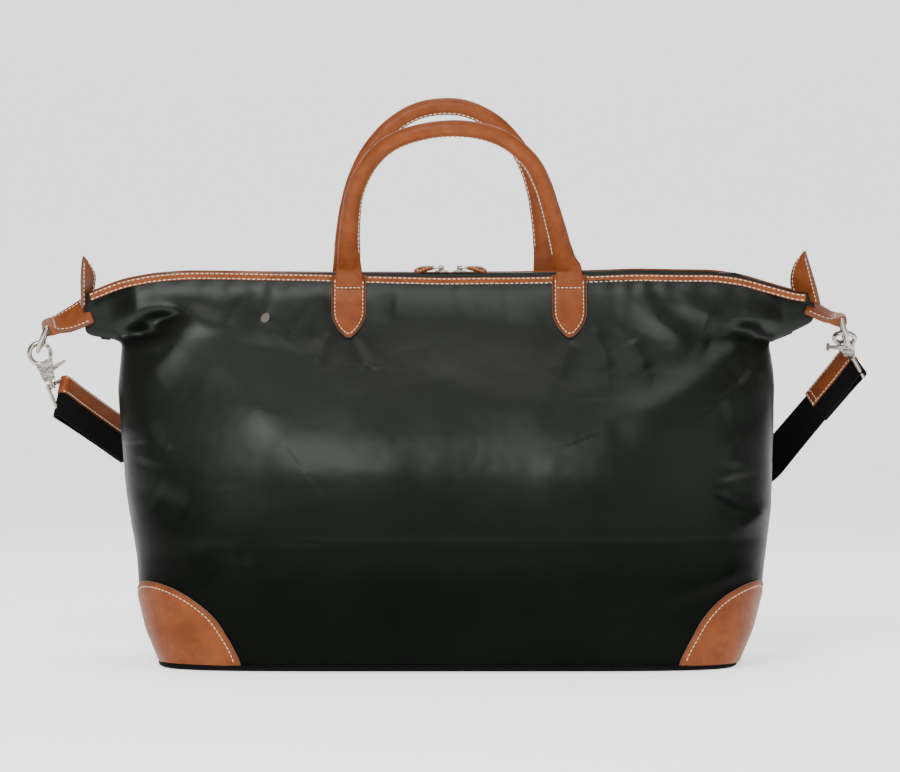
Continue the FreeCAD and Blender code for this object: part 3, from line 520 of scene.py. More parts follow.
# Half width to each side, half depth and squareness of the bag over its height.
half_left = curve([
    (-5, 228), (4, 231), (30, 242), (58, 249), (90, 252), (146, 260), (190, 265), (222, 267),
    (253, 264), (261, 263), (265, 268), (269, 286), (274, 294), (302, 295), (330, 293),
], 3.0)
half_right = curve([
    (-5, 230), (4, 233), (30, 244), (66, 254), (100, 258), (146, 262), (190, 264), (222, 264),
    (253, 260), (262, 258.5), (266, 262), (270, 271), (279, 286), (285, 296), (301, 297), (330, 294),
], 3.0)
half_depth = curve([
    (-5, 106), (4, 107), (30, 112), (70, 116), (100, 116), (130, 113), (160, 107), (185, 97),
    (205, 84), (225, 68), (245, 51), (260, 38), (275, 28), (290, 19), (300, 13), (330, 10),
], 7)
squareness = curve([
    (-5, 5.5), (4, 5.2), (40, 4.0), (90, 3.4), (150, 3.1), (225, 2.8), (260, 2.8), (285, 3.6),
    (300, 6.0), (330, 7.0),
], 7)
# Height of the mouth's top line over x.
top_at = curve([
    (-320, 296), (-290, 297.5), (-278, 303), (-262, 308.5), (-238, 313), (-214, 315), (-100, 314),
    (0, 313.6), (100, 315.0), (150, 316.5), (214, 315.5), (238, 312), (258, 306), (282, 299), (320, 296),
], 5.0, -320, 320, 15)


# Folds in the front cloth: points (x, z) in millimetres, height, width on the
# upper side and width on the lower side of the line.
FRONT_FOLDS = [
    ([(-223, 291), (-197, 268), (-180, 258), (-131, 248), (-88, 243)], 5.0, 16, 30),
    ([(-223, 287), (-200, 262), (-180, 240), (-150, 204), (-134, 184)], 4.2, 17, 30),
    ([(-242, 231), (-226, 243), (-213, 257)], 3.0, 6, 10),
    ([(-252, 262), (-236, 258), (-222, 268), (-214, 280)], 6.0, 7, 12),
    ([(-152, 312), (-166, 290), (-180, 270)], 2.6, 7, 12),
    ([(-98, 300), (-116, 277), (-131, 257)], 2.4, 8, 14),
    ([(-126, 312), (-142, 292), (-150, 270)], -2.0, 9, 9),
    ([(-94, 268), (-101, 254), (-106, 240)], 1.8, 5, 9),
    ([(-78, 263), (-71, 250), (-64, 236)], 2.0, 5, 9),
    ([(-100, 246), (-90, 216), (-68, 200)], 1.8, 14, 20),
    ([(-60, 288), (-22, 280), (34, 277), (76, 272)], -2.2, 24, 26),
    ([(-70, 300), (-40, 296)], 1.8, 6, 12),
    ([(100, 262), (92, 246), (84, 232)], 2.0, 6, 10),
    ([(114, 272), (124, 252), (128, 236)], 1.8, 6, 12),
    ([(153, 307), (169, 277), (198, 252)], 2.8, 9, 12),
    ([(146, 262), (152, 250), (159, 236)], 2.4, 6, 10),
    ([(180, 308), (196, 290), (222, 272)], 2.2, 8, 12),
    ([(250, 270), (226, 246), (198, 223), (168, 206), (130, 192)], 5.5, 15, 28),
    ([(246, 258), (240, 240), (226, 226)], -4.0, 9, 12),
    ([(250, 238), (236, 222), (214, 208)], 3.0, 7, 14),
    ([(206, 268), (226, 262), (244, 262)], -4.5, 14, 14),
    ([(-236, 140), (-222, 132), (-206, 126)], -3.2, 12, 14),
    ([(228, 156), (230, 142), (224, 130)], -3.4, 12, 12),
    ([(-80, 62), (-30, 66), (30, 66), (78, 60)], -3.4, 26, 30),
    ([(182, 50), (204, 58), (230, 66)], -2.0, 6, 7),
    ([(182, 60), (206, 68), (232, 78)], 2.0, 6, 8),
    ([(228, 111), (242, 118), (254, 127)], 2.4, 5, 8),
    ([(-161, 105), (-80, 104), (20, 104), (140, 103), (254, 104)], -1.1, 3, 5),
    ([(-30, 236), (10, 222), (40, 214), (90, 214)], 2.2, 20, 30),
    ([(-150, 150), (-90, 160), (-20, 158)], 2.0, 24, 30),
    ([(60, 158), (120, 150), (170, 138)], 2.0, 24, 30),
    ([(-244, 200), (-236, 180), (-240, 160)], 2.4, 10, 14),
    ([(-196, 60), (-180, 76), (-150, 84)], 1.8, 8, 12),
    ([(-210, 92), (-186, 98), (-160, 96)], -1.6, 7, 9),
    ([(240, 190), (226, 176), (222, 160)], 2.2, 9, 14),
]
# The back has the front's larger folds, mirrored and a little weaker.
BACK_FOLDS = [
    ([(6 - x, z + 2) for x, z in line], height * 0.85, above, below)
    for line, height, above, below in FRONT_FOLDS
    if abs(height) > 1.9 and line[0][1] > 120
]


def fold_height(x, z, folds):
    """Summed height of all folds over points (x, z)."""
    total = np.zeros_like(x)
    for line, height, above, below in folds:
        best = np.full(x.shape, 1e9)
        sign = np.ones_like(x)
        along = np.zeros_like(x)
        points = np.array(line, float)
        lengths = np.linalg.norm(np.diff(points, axis=0), axis=1)
        run = run_along(points)
        for i in range(len(points) - 1):
            a, b = points[i], points[i + 1]
            way = b - a
            t = np.clip(((x - a[0]) * way[0] + (z - a[1]) * way[1]) / (way @ way), 0, 1)
            dx = x - a[0] - t * way[0]
            dz = z - a[1] - t * way[1]
            far = np.hypot(dx, dz)
            side = way[0] * dz - way[1] * dx
            if way[0] < 0:
                side = -side
            near = far < best
            best = np.where(near, far, best)
            sign = np.where(near, side, sign)
            along = np.where(near, (run[i] + t * lengths[i]) / run[-1], along)
        width = np.where(sign > 0, above, below)
        fade = 0.35 + 0.65 * smoothstep(np.clip(np.minimum(along, 1 - along) / 0.22, 0, 1))
        total += height * fade * np.exp(-((best / width) ** 1.7))
    return total


ROWS, COLUMNS = 211, 421
SEAM_LEVEL, TOP_LEVEL = 3.5, 315.0
# Middle of each handle foot along the bag, left then right.
FEET = {"front": (-80.0, 98.0), "back": (-84.0, 80.0)}


def crumple(x, y, z, scale, seed):
    """Smooth random height over points."""
    out = np.empty(x.size)
    flat = np.stack([x.ravel(), y.ravel(), z.ravel()], axis=1) / scale + seed
    for i, p in enumerate(flat):
        out[i] = noise.noise(p)
    return out.reshape(x.shape)


def grid_normals(points, outward):
    """Unit normals of a grid, turned to a rough outward direction."""
    du = np.gradient(points, axis=1)
    dv = np.gradient(points, axis=0)
    normal = unit(np.cross(du, dv))
    flip = np.sign((normal * outward).sum(axis=-1, keepdims=True))
    return normal * np.where(flip == 0, 1, flip)


def smooth_panel(front):
    """Grid of one panel before its folds, from the left seam to the right."""
    levels = np.concatenate([np.linspace(SEAM_LEVEL, 250, 150), np.linspace(250, TOP_LEVEL, ROWS - 149)[1:]])
    phi = np.linspace(-math.pi / 2, math.pi / 2, 4001)
    grid = np.empty((ROWS, COLUMNS, 3))
    share = np.linspace(-1, 1, COLUMNS)
    for i, z in enumerate(levels):
        power = 2 / squareness(z)
        width = np.where(phi < 0, half_left(z), half_right(z))
        x = width * np.sign(np.sin(phi)) * np.abs(np.sin(phi)) ** power
        y = half_depth(z) * np.abs(np.cos(phi)) ** power
        run = np.concatenate([[0], np.cumsum(np.hypot(np.diff(x), np.diff(y)))])
        middle = np.interp(0, x, run)
        want = np.where(share < 0, middle * (1 + share), middle + (run[-1] - middle) * share)
        grid[i, :, 0] = np.interp(want, run, x)
        grid[i, :, 1] = np.interp(want, run, y) * (-1 if front else 1)
        wing = np.clip((np.abs(grid[i, :, 0]) - 250) / 26, 0, 1) * np.clip((z - 252) / 14, 0, 1)
        grid[i, :, 1] *= 1 - 0.72 * smoothstep(wing)
        lowered = (TOP_LEVEL - top_at(grid[i, :, 0])) * np.clip((z - 200) / 115, 0, 1) ** 1.5
        grid[i, :, 2] = z - lowered
    return grid


def cloth_relief(grid, front):
    """Height of the folds, sags and creases over a smooth panel."""
    x, y, z = grid[..., 0], grid[..., 1], grid[..., 2]
    drop = top_at(x) - z
    folds = fold_height(x, z, FRONT_FOLDS if front else BACK_FOLDS)
    stretch = crumple(x, y, z * 1.3, 95, 3.1 if front else 8.4) * 2.4
    fine = np.abs(crumple(x * 0.7, y, z * 1.3, 38, 5.7)) * -0.6 * np.clip((z - 120) / 120, 0.25, 1)
    hair = crumple(x, y, z, 9, 2.2) * 0.10 * np.clip(drop / 12, 0, 1)
    pucker = np.sin(x / 3.1 + 1.6 * np.sin(x / 23)) * np.exp(-np.clip(drop - 9, 0, 80) / 12) * 0.3
    pucker *= np.clip((np.abs(x) - 105) / 40, 0, 1) * np.clip(z / 40, 0, 1) * np.clip((drop - 5) / 8, 0, 1)
    hold = smoothstep(np.clip((drop - 6) / 36, 0, 1)) * np.clip((z - SEAM_LEVEL) / 22, 0, 1)
    for foot in FEET["front" if front else "back"]:
        hold *= 1 - 0.9 * np.exp(-(((x - foot) / 17) ** 4) - ((z - 290) / 26) ** 4)
    height = (folds + stretch + fine) * hold + hair + pucker
    seam = np.clip((1 - np.abs(np.linspace(-1, 1, COLUMNS))) * 60, 0, 1)[None, :]
    room = np.clip(np.abs(y) - 3.0, 0, None)
    height = np.where(height < 0, -np.minimum(-height, room * 0.7), height) * (0.25 + 0.75 * seam)
    limit = 9.6 if front else 4.0
    return np.where(height > 0, limit * np.tanh(height / limit), height)


def make_cloth(front):
    """Points and normals of one panel, with its folds."""
    grid = smooth_panel(front)
    outward = np.zeros_like(grid)
    outward[..., 0] = grid[..., 0] / 260
    outward[..., 1] = -1 if front else 1
    x, z = grid[..., 0], grid[..., 2]
    folded = grid + grid_normals(grid, outward) * cloth_relief(grid, front)[..., None]
    for at_x, at_z, wide, high, deep in TUCKS:
        reach = np.exp(-((x - at_x) / wide) ** 2 - ((z - at_z) / high) ** 2)
        folded[..., 1] *= 1 - deep * reach
    folded[..., 1] = np.minimum(folded[..., 1], -0.3) if front else np.maximum(folded[..., 1], 0.3)
    folded[:, 0, 1] = 0
    folded[:, -1, 1] = 0
    return folded, grid_normals(folded, outward)


# Corners where the cloth is folded in under the end wings: x, z, reach, depth.
TUCKS = [(-250, 266, 20, 8.0, 0.84), (-232, 276, 16, 7, 0.55), (256, 262, 12, 8, 0.8), (240, 268, 12, 7, 0.4)]

CLOTH = {"front": make_cloth(True), "back": make_cloth(False)}
RUNS = {}
for face, (grid, _) in CLOTH.items():
    steps = np.linalg.norm(np.diff(grid, axis=1), axis=2)
    RUNS[face] = np.concatenate([np.zeros((ROWS, 1)), np.cumsum(steps, axis=1)], axis=1)


def sample(face, column, row, lift=0.0):
    """Point and normal of a panel at fractional grid places."""
    grid, normal = CLOTH[face]
    column = np.clip(np.asarray(column, float), 0, COLUMNS - 1.001)
    row = np.clip(np.asarray(row, float), 0, ROWS - 1.001)
    c0, r0 = column.astype(int), row.astype(int)
    fc, fr = (column - c0)[..., None], (row - r0)[..., None]

    def mix(table):
        low = table[r0, c0] * (1 - fc) + table[r0, c0 + 1] * fc
        high = table[r0 + 1, c0] * (1 - fc) + table[r0 + 1, c0 + 1] * fc
        return low * (1 - fr) + high * fr

    up = unit(mix(normal))
    return mix(grid) + up * lift, up


def place_on(face, x, z):
    """Fractional grid places of the panel points seen at (x, z) from the front."""
    grid, _ = CLOTH[face]
    x, z = np.atleast_1d(np.asarray(x, float)), np.atleast_1d(np.asarray(z, float))
    columns, rows = np.empty(x.shape), np.empty(x.shape)
    for k in np.ndindex(x.shape):
        column = (COLUMNS - 1) / 2 * (1 + x[k] / 290)
        row = ROWS / 2
        for _ in range(6):
            i = int(np.clip(round(column), 0, COLUMNS - 1))
            row = np.interp(z[k], grid[:, i, 2], np.arange(ROWS))
            j = int(np.clip(round(row), 0, ROWS - 1))
            middle = slice(int(COLUMNS * 0.06), int(COLUMNS * 0.94))
            column = np.interp(x[k], grid[j, middle, 0], np.arange(COLUMNS)[middle])
        columns[k], rows[k] = column, row
    return columns, rows


def cloth_panel(face):
    """Outer cloth of a panel, in two layers."""
    grid, normal = CLOTH[face]
    front = face == "front"
    panel = Shape()
    panel.add(grid.reshape(-1, 3), grid_faces(ROWS, COLUMNS, flip=not front))
    inner = grid - normal * 1.6
    inner[..., 1] = np.minimum(inner[..., 1], -0.1) if front else np.maximum(inner[..., 1], 0.1)
    panel.add(inner.reshape(-1, 3), grid_faces(ROWS, COLUMNS, flip=front))
    panel.make(face + "_cloth", nylon, "bag", [face + "_panel"])


def lining_cloth():
    """Lining that follows both panels inside."""
    hidden = Shape()
    for face, (grid, normal) in CLOTH.items():
        deep = grid[::3, ::4] - normal[::3, ::4] * 3.2
        # The lining stops short of the end wings, which are only two layers of cloth.
        deep[..., 0] *= 1 - 0.13 * np.clip((deep[..., 2] - 215) / 25, 0, 1)
        front = face == "front"
        deep[..., 1] = np.minimum(deep[..., 1], -0.6) if front else np.maximum(deep[..., 1], 0.6)
        hidden.add(deep.reshape(-1, 3), grid_faces(*deep.shape[:2], flip=not front))
    hidden.make("lining_cloth", lining, "bag", ["lining"])


cloth_panel("front")
cloth_panel("back")
lining_cloth()


# ------------------------------------------------------------------- base trim
BASE_HALF_LONG, BASE_HALF_DEEP = 231, 107
BASE_SQUARENESS = 5.4


def base_outline(inset, count=220):
    """Points of the base's outline, drawn in by an inset."""
    phi = np.linspace(0, 2 * math.pi, 8001)
    power = 2 / BASE_SQUARENESS
    x = (BASE_HALF_LONG - inset) * np.sign(np.cos(phi)) * np.abs(np.cos(phi)) ** power
    y = (BASE_HALF_DEEP - inset) * np.sign(np.sin(phi)) * np.abs(np.sin(phi)) ** power
    line = np.stack([x, y, np.zeros_like(x)], axis=1)
    return resample(line, run_along(line)[-1] / count)[:-1]


def base_cloth():
    """Soft-edged slab of cloth under the bag."""
    low, high, bulge = 0.4, 4.4, 1.0
    rings = []
    for share in (0.0, 0.3, 0.7, 1.0):
        ring = base_outline(2.5 - bulge * (1 - (2 * share - 1) ** 2))
        ring[:, 2] = low + (high - low) * share
        rings.append(ring)
    count = len(rings[0])
    faces = grid_faces(4, count, wrap=True)
    faces.append(tuple(range(count))[::-1])
    faces.append(tuple(range(3 * count, 4 * count)))
    slab = Shape()
    slab.add(np.concatenate([ring[:count] for ring in rings]), faces)
    slab.make("base_cloth", nylon, "bag", ["base_panel", "base_piping"])


def base_piping():
    """Corded edge round the base."""
    line = base_outline(-0.2)
    line = np.vstack([line, line[:2]])
    line[:, 2] = 3.0
    piping = Shape()
    piping.bead(line, np.tile([0, 0, 1.0], (len(line), 1)), oval(2.2, 2.6, 8))
    piping.make("base_piping_cord", webbing, "bag")


base_cloth()
base_piping()


# --------------------------------------------------------- leather on the cloth
# How far each end's patches sit towards +X.
PATCH_SHIFT = {"left": 8.0, "right": 10.0}
# Share of a patch's radius at which its stitches run.
STITCH_REACH = 0.935


def patch_places(face, end, radius, angle):
    """Panel places at a polar position about a corner patch's foot."""
    side = -1 if end == "left" else 1
    grid, _ = CLOTH[face]
    low = RUNS[face][2]
    middle = int(np.argmin(np.abs(grid[2, :, 0] - side * 206)))
    center = low[middle] + side * 34 + PATCH_SHIFT[end]
    wave = 1 + 0.02 * np.sin(3 * angle + 0.6)
    along = radius * 68 * wave * np.cos(angle)
    z = 4.6 + radius * 66 * wave * np.sin(angle)
    rows = np.interp(z, grid[:, COLUMNS // 2, 2], np.arange(ROWS))
    columns = np.empty(rows.shape)
    for k in np.ndindex(rows.shape):
        run = RUNS[face][int(round(rows[k]))]
        want = center + along[k]
        if side > 0:
            want += run[-1] - low[-1]
        columns[k] = np.interp(want, run, np.arange(COLUMNS))
    return columns, rows


def corner_patch(face, end):
    """Rounded corner patch with an edge and a stitch line, wrapped round the corner."""
    name = "corner_patch_%s_%s" % (face, end)
    angles = np.radians(np.linspace(0, 180, 61))
    radii = np.concatenate([np.linspace(0.02, 0.93, 16), [0.975, 0.993, 1.0]])
    radius, angle = np.meshgrid(radii, angles, indexing="ij")
    points, ups = sample(face, *patch_places(face, end, radius, angle))
    high = np.interp(radii, [0, 0.93, 0.975, 0.993, 1.0], [1.7, 1.7, 1.5, 1.0, 0.0])
    groove = -0.45 * np.exp(-((radii - STITCH_REACH) / 0.012) ** 2)
    points = points + ups * (0.3 + high + groove)[:, None, None]
    sheet = Shape()
    sheet.add(points.reshape(-1, 3), grid_faces(*radius.shape, flip=(face == "front")))
    sheet.make(name + "_leather", leather, "bag", [name])

    seam_angle = np.radians(np.linspace(3, 177, 120))
    seam_places = patch_places(face, end, np.full(120, STITCH_REACH), seam_angle)
    sewn = Shape()
    sewn.stitches(*sample(face, *seam_places, 1.9), 3.7)
    sewn.make(name + "_stitch", thread, "bag")

    rim_angle = np.radians(np.linspace(0, 180, 140))
    rim_places = patch_places(face, end, np.full(140, 0.997), rim_angle)
    rim = Shape()
    rim.bead(*sample(face, *rim_places, 0.9), oval(0.55, 0.95))
    rim.make(name + "_edge", edge, "bag")


for face in ("front", "back"):
    for end in ("left", "right"):
        corner_patch(face, end)


# ------------------------------------------------------------------- top bands
# Places along the bag and how far the front band hangs below the mouth's line there.
FRONT_BAND_SAG = (
    [-290, -170, -100, -60, 0, 60, 110, 200, 290],
    [0.8, 0.3, 1.0, 2.4, 3.6, 3.8, 3.6, 3.2, 1.8],
)


def top_strip(face):
    """Points along the mouth's top edge of a face, with outward and up directions."""
    x = np.linspace(-289, 289, 580)
    sign = -1 if face == "front" else 1
    wobble = 0.5 * np.sin(x / 37.0 + (1 if face == "front" else 2)) + 0.25 * np.sin(x / 11.0)
    y = sign * (11.6 + 0.3 * wobble)
    z = top_at(x) - (2.6 if face == "front" else 1.9) + 0.3 * wobble
    if face == "front":
        z -= np.interp(x, *FRONT_BAND_SAG)
    line = np.stack([x, y, z], axis=1)
    way = unit(np.gradient(line, axis=0))
    out = np.tile([0, sign * 1.0, 0.0], (len(x), 1))
    ups = unit(np.cross(way, out) * -sign)
    ups = ups * np.sign(ups[:, 2:3])
    return line, out, ups


def top_band(face):
    """Leather band along the mouth with two rows of stitches."""
    line, out, ups = top_strip(face)
    band = Shape()
    band.tube(line, out, ups, rounded_slab(2.0, 6.2, 0.16, 3))
    band.make("top_band_%s_leather" % face, leather, "bag", ["top_band_" + face])
    sewn = Shape()
    for height in (-1.9, 2.0):
        sewn.stitches(line + ups * height + out * 1.0, out, 4.0)
    sewn.make("top_band_%s_stitch" % face, thread, "bag")


top_band("front")
top_band("back")


# ----------------------------------------------------------------- handle tabs
TAB_HALF = 13.5
TAB_SHOULDER = 284.0
TAB_POINT = 263.4


def tab_half(z, inset=0.0):
    """Half width of a handle tab at a height, rounding in to its point."""
    low = TAB_POINT + inset * 1.25
    share = np.clip((TAB_SHOULDER - np.asarray(z, float)) / (TAB_SHOULDER - low), 0, 1)
    return (TAB_HALF - inset) * np.cos(share * math.pi / 2 * 0.98) ** 0.72


def tab_depth(face, foot, heights):
    """How far out of the bag's middle a tab's back lies over its heights."""
    columns, rows = place_on(face, np.full(heights.shape, foot), np.minimum(heights, 304))
    cloth, _ = sample(face, columns, rows)
    outward = np.where(heights > 302, 13.2, np.abs(cloth[:, 1]))
    smooth = np.convolve(np.pad(outward, 3, mode="edge"), np.ones(7) / 7, mode="valid")
    return np.maximum(outward, smooth)


def handle_tab(face, index):
    """Pointed leather tab sewn to the cloth under a handle's foot."""
    name = "handle_tab_%s_%s" % (face, ("left", "right")[index])
    foot = FEET[face][index]
    sign = -1 if face == "front" else 1
    facing = np.array([0, sign * 1.0, 0])
    heights = np.concatenate([np.linspace(313, TAB_SHOULDER, 28), np.linspace(283.2, TAB_POINT, 26)])
    across = np.linspace(-1, 1, 17)
    wide = np.maximum(tab_half(heights), 0.25)
    outward = tab_depth(face, foot, heights)
    points = np.empty((len(heights), 17, 3))
    points[..., 0] = foot + across[None, :] * wide[:, None]
    points[..., 2] = heights[:, None]
    points[..., 1] = sign * (outward[:, None] + 0.9 - 0.5 * across[None, :] ** 2)
    ups = grid_normals(points, np.tile(facing, (*points.shape[:2], 1)))
    high = np.full(points.shape[:2], 1.3)
    high[:, (0, -1)] = -0.8
    high[(0, -1), :] = -0.8
    high[:, (1, -2)] = np.minimum(high[:, (1, -2)], 1.0)
    top = points + ups * high[..., None]
    under = points - ups * 0.8
    sheet = Shape()
    sheet.add(top.reshape(-1, 3), grid_faces(*points.shape[:2], flip=(face == "front")))
    sheet.add(under.reshape(-1, 3), grid_faces(*points.shape[:2], flip=(face != "front")))
    sheet.make(name + "_leather", leather, "bag", [name])

    def outline(half, down, lift):
        """Line down one side of the tab's face and up the other."""
        y = np.interp(down, heights[::-1], points[::-1, 8, 1]) + sign * lift
        left = np.stack([foot - half, y, down], axis=1)
        right = np.stack([foot + half, y, down], axis=1)
        return resample(np.vstack([left, right[::-1]]), 0.8)

    down = np.concatenate([np.linspace(309, TAB_SHOULDER, 30), np.linspace(283, TAB_POINT + 2.9, 30)])
    seam = outline(tab_half(down, 2.2), down, 1.45)
    sewn = Shape()
    sewn.stitches(seam, np.tile(facing, (len(seam), 1)), 3.6)
    sewn.make(name + "_stitch", thread, "bag")
    line = outline(tab_half(heights) + 0.1, heights, 0.1)
    rim = Shape()
    rim.bead(line, np.tile(facing, (len(line), 1)), oval(0.5, 0.95))
    rim.make(name + "_edge", edge, "bag")


for face in ("front", "back"):
    for index in (0, 1):
        handle_tab(face, index)


# --------------------------------------------------------------------- handles
def smooth_path(points, step):
    """Smooth line through control points, evenly spaced."""
    points = np.asarray(points, float)
    padded = np.vstack([2 * points[0] - points[1], points, 2 * points[-1] - points[-2]])
    out = []
    for i in range(1, len(padded) - 2):
        p0, p1, p2, p3 = padded[i - 1:i + 3]
        for t in np.linspace(0, 1, 24, endpoint=False):
            out.append(0.5 * (2 * p1 + (p2 - p0) * t + (2 * p0 - 5 * p1 + 4 * p2 - p3) * t * t
                              + (3 * p1 - p0 - 3 * p2 + p3) * t ** 3))
    out.append(padded[-2])
    return resample(out, step)


# Handle middle lines in the handle's own plane: along the bag, up from the hinge.
ARCHES = {
    "front": [(-80, 10), (-79.4, 36), (-76, 66), (-69.6, 86), (-59, 104), (-44, 118), (-22, 127), (2, 130.5),
              (26, 128), (47, 119), (65, 101.5), (75.5, 80), (81.5, 60), (88, 34), (93.6, 10)],
    "back": [(-84, 10), (-82.6, 34), (-78.5, 60), (-70, 84), (-59, 102), (-43, 118), (-24, 128.5), (-3, 132),
             (17, 129.5), (36, 120), (51, 106), (63, 88), (71, 66), (76, 40), (79.5, 10)],
}
LEANS = {"front": math.radians(30), "back": math.radians(-5)}
HINGE_DEPTH, HINGE_LEVEL = 17.0, 318.0
HANDLE_STEP = 1.3
# Distances from a foot's end along the handle, and half its width or depth there.
HANDLE_WIDE = ([0, 6, 14, 26, 44, 80, 130, 400], [11.3, 11.0, 10.2, 9.2, 8.2, 7.2, 6.7, 6.6])
HANDLE_DEEP = ([0, 6, 14, 24, 42, 90, 400], [1.2, 1.7, 3.0, 5.4, 6.8, 6.4, 6.3])
# Levels and depths that a handle's foot passes under its hinge.
FOOT_RISE = [(301.4, 15.2), (306, 15.4), (311, 15.8), (318, 16.6)]


class Handle:
    """One rolled handle: its middle line, directions and half sizes along it."""

    def __init__(self, face):
        self.face = face
        self.sign = -1 if face == "front" else 1
        self.lean = LEANS[face]
        self.hinge_y = self.sign * HINGE_DEPTH
        self.line = smooth_path(self.path(), HANDLE_STEP)
        way = unit(np.gradient(self.line, axis=0))
        plane = np.array([0, -math.cos(self.lean), -math.sin(self.lean)])
        self.ups = unit(plane[None, :] - way * (way @ plane)[:, None])
        self.inward = np.cross(way, self.ups)
        self.run = np.arange(len(self.line)) * HANDLE_STEP
        self.rest = self.run[-1] - self.run
        foot = np.minimum(self.run, self.rest)
        self.wide = np.interp(foot, *HANDLE_WIDE)
        self.deep = np.interp(foot, *HANDLE_DEEP)
        self.shoulder = np.exp(-((foot - 118) / 34) ** 2)
        self.gather = np.exp(-((foot - 22) / 12) ** 2)
        to_middle = (3 - self.line[:, 0]) * self.inward[:, 0] - (self.line[:, 2] - 380) * self.inward[:, 2]
        self.middle_side = 1.0 if np.median(np.sign(to_middle[30:-30])) > 0 else -1.0
        clear_of_feet = int(34 / HANDLE_STEP)
        self.keep = slice(clear_of_feet, -clear_of_feet)

    def path(self):
        """Control points from the left foot over the arch to the right foot."""
        rise, tilt = math.cos(self.lean), math.sin(self.lean)
        arch = [(x, self.hinge_y - v * tilt, HINGE_LEVEL + v * rise) for x, v in ARCHES[self.face]]
        left, right = FEET[self.face]
        up = [(left, self.sign * y, z) for z, y in FOOT_RISE]
        down = [(right, self.sign * y, z) for z, y in FOOT_RISE[::-1]]
        return up + arch + down

    def section(self, i):
        """Cross-section with creases on the inner side and pleats at the feet."""
        run, rest, gather = self.run[i], self.rest[i], self.gather[i]
        points = []
        for k in range(22):
            angle = 2 * math.pi * k / 22
            a, b = math.cos(angle), math.sin(angle)
            inner = max(0.0, a * self.middle_side)
            crease = 0.42 * self.shoulder[i] * inner * math.sin(run / 1.05 + 0.8 * b)
            pleat = 0.5 * gather * math.sin(angle * 5 + (0.6 if self.face == "front" else 2.0))
            if self.face == "back" and rest < 60:
                pleat = 1.25 * gather * math.sin(angle * 8 + 0.06 * rest)
            grow = 1 + 0.035 * noise.noise((run / 16, a, b))
            ridge = 0.3 * max(0.0, inner - 0.86) / 0.14
            side = a * (self.wide[i] * grow + crease + pleat * 0.5 + ridge)
            points.append((side, b * (self.deep[i] * grow + pleat)))
        return points

    def cover(self):
        """Leather cover over the whole handle, from foot to foot, kept on no body."""
        cover = Shape()
        cover.tube(self.line, self.inward, self.ups, self.section)
        whole = cover.make("handle_%s_leather" % self.face, leather, None,
                           ["handle_cover_" + self.face, "handle_core_" + self.face])
        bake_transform(whole)

    def foot_stitches(self):
        """Row of stitches across each foot."""
        bars = Shape()
        facing = np.tile([0, self.sign * 1.0, 0], (9, 1))
        for foot in FEET[self.face]:
            seam = np.array([(foot + t, self.sign * 16.5, 302.6) for t in np.linspace(-10.2, 10.2, 9)])
            bars.stitches(seam, facing, 3.5)
        bars.make("handle_%s_foot_stitch" % self.face, thread, "bag")

    def seams(self):
        """Two stitch rows and the closed seam on the inner side."""
        line, inward, ups, keep = self.line, self.inward, self.ups, self.keep
        sewn = Shape()
        for tilt in (0.42, -0.42):
            side = self.middle_side * math.cos(tilt)
            direction = inward * side + ups * math.sin(tilt)
            seam = line + inward * (side * self.wide)[:, None] + ups * (math.sin(tilt) * self.deep)[:, None]
            sewn.stitches(seam[keep] + direction[keep] * 0.1, direction[keep], 3.9)
        sewn.make("handle_%s_stitch" % self.face, thread, self.face + "_handle")
        seam = line + inward * (self.middle_side * (self.wide + 0.25))[:, None]
        groove = Shape()
        groove.tube(seam[keep], inward[keep], ups[keep], oval(0.5, 0.8))
        groove.make("handle_%s_seam" % self.face, edge, self.face + "_handle")


for face in ("front", "back"):
    handle = Handle(face)
    handle.cover()
    handle.foot_stitches()
    handle.seams()


# ----------------------------------------------------------------------- zip
def zip_top(x):
    """Level of the zip under the mouth's top line, straight where the sliders run."""
    return np.interp(np.abs(x), [0, 232, 262, 292], [315.0, 315.0, 304.6, 295.0])


def zip_tape(face):
    """Woven tape on one side of the zip."""
    x = np.linspace(-257, 257, 400)
    depth = -6.2 if face == "front" else 6.2
    line = np.stack([x, np.full_like(x, depth), zip_top(x) - 1.9], axis=1)
    out = np.tile([0, 1.0, 0], (len(x), 1))
    tape = Shape()
    tape.tube(line, out, np.cross(unit(np.gradient(line, axis=0)), out), rounded_slab(6.0, 0.9, 0.3, 2))
    tape.make("zip_tape_%s_cloth" % face, webbing, "bag", ["zip_tape_" + face])


# A zip tooth from its head to its root: depth, half length and half height.
TOOTH = ((3.6, 0.5, 0.7), (2.6, 0.55, 1.05), (1.0, 0.55, 1.05), (0.55, 0.4, 0.6))
TOOTH_PITCH = 1.9


def zip_teeth(face):
    """Row of teeth on one side of the zip, half a pitch off the other side's."""
    sign = -1 if face == "front" else 1
    start = -251.5 if face == "front" else -251.5 + TOOTH_PITCH / 2
    teeth = Shape()
    for k in range(int(504 / TOOTH_PITCH)):
        at = start + k * TOOTH_PITCH
        slope = -np.sign(at) * (0.34 if abs(at) > 232 else 0.0)
        way = unit(np.array([[1, 0, slope]]))[0]
        up = np.array([-way[2], 0, way[0]])
        ring = []
        for depth, half, tall in TOOTH:
            place = np.array([at, sign * depth, zip_top(at) - 1.45])
            for a, b in ((1, 1), (-1, 1), (-1, -1), (1, -1)):
                ring.append(place + way * a * half + up * b * tall)
        teeth.add(ring, grid_faces(4, 4, wrap=True) + [(3, 2, 1, 0), (12, 13, 14, 15)])
    teeth.make("zip_teeth_" + face, coil, "bag", ["zip_coil_" + face], smooth=False)


for face in ("front", "back"):
    zip_tape(face)
    zip_teeth(face)

PIN_LEVEL = 318.4


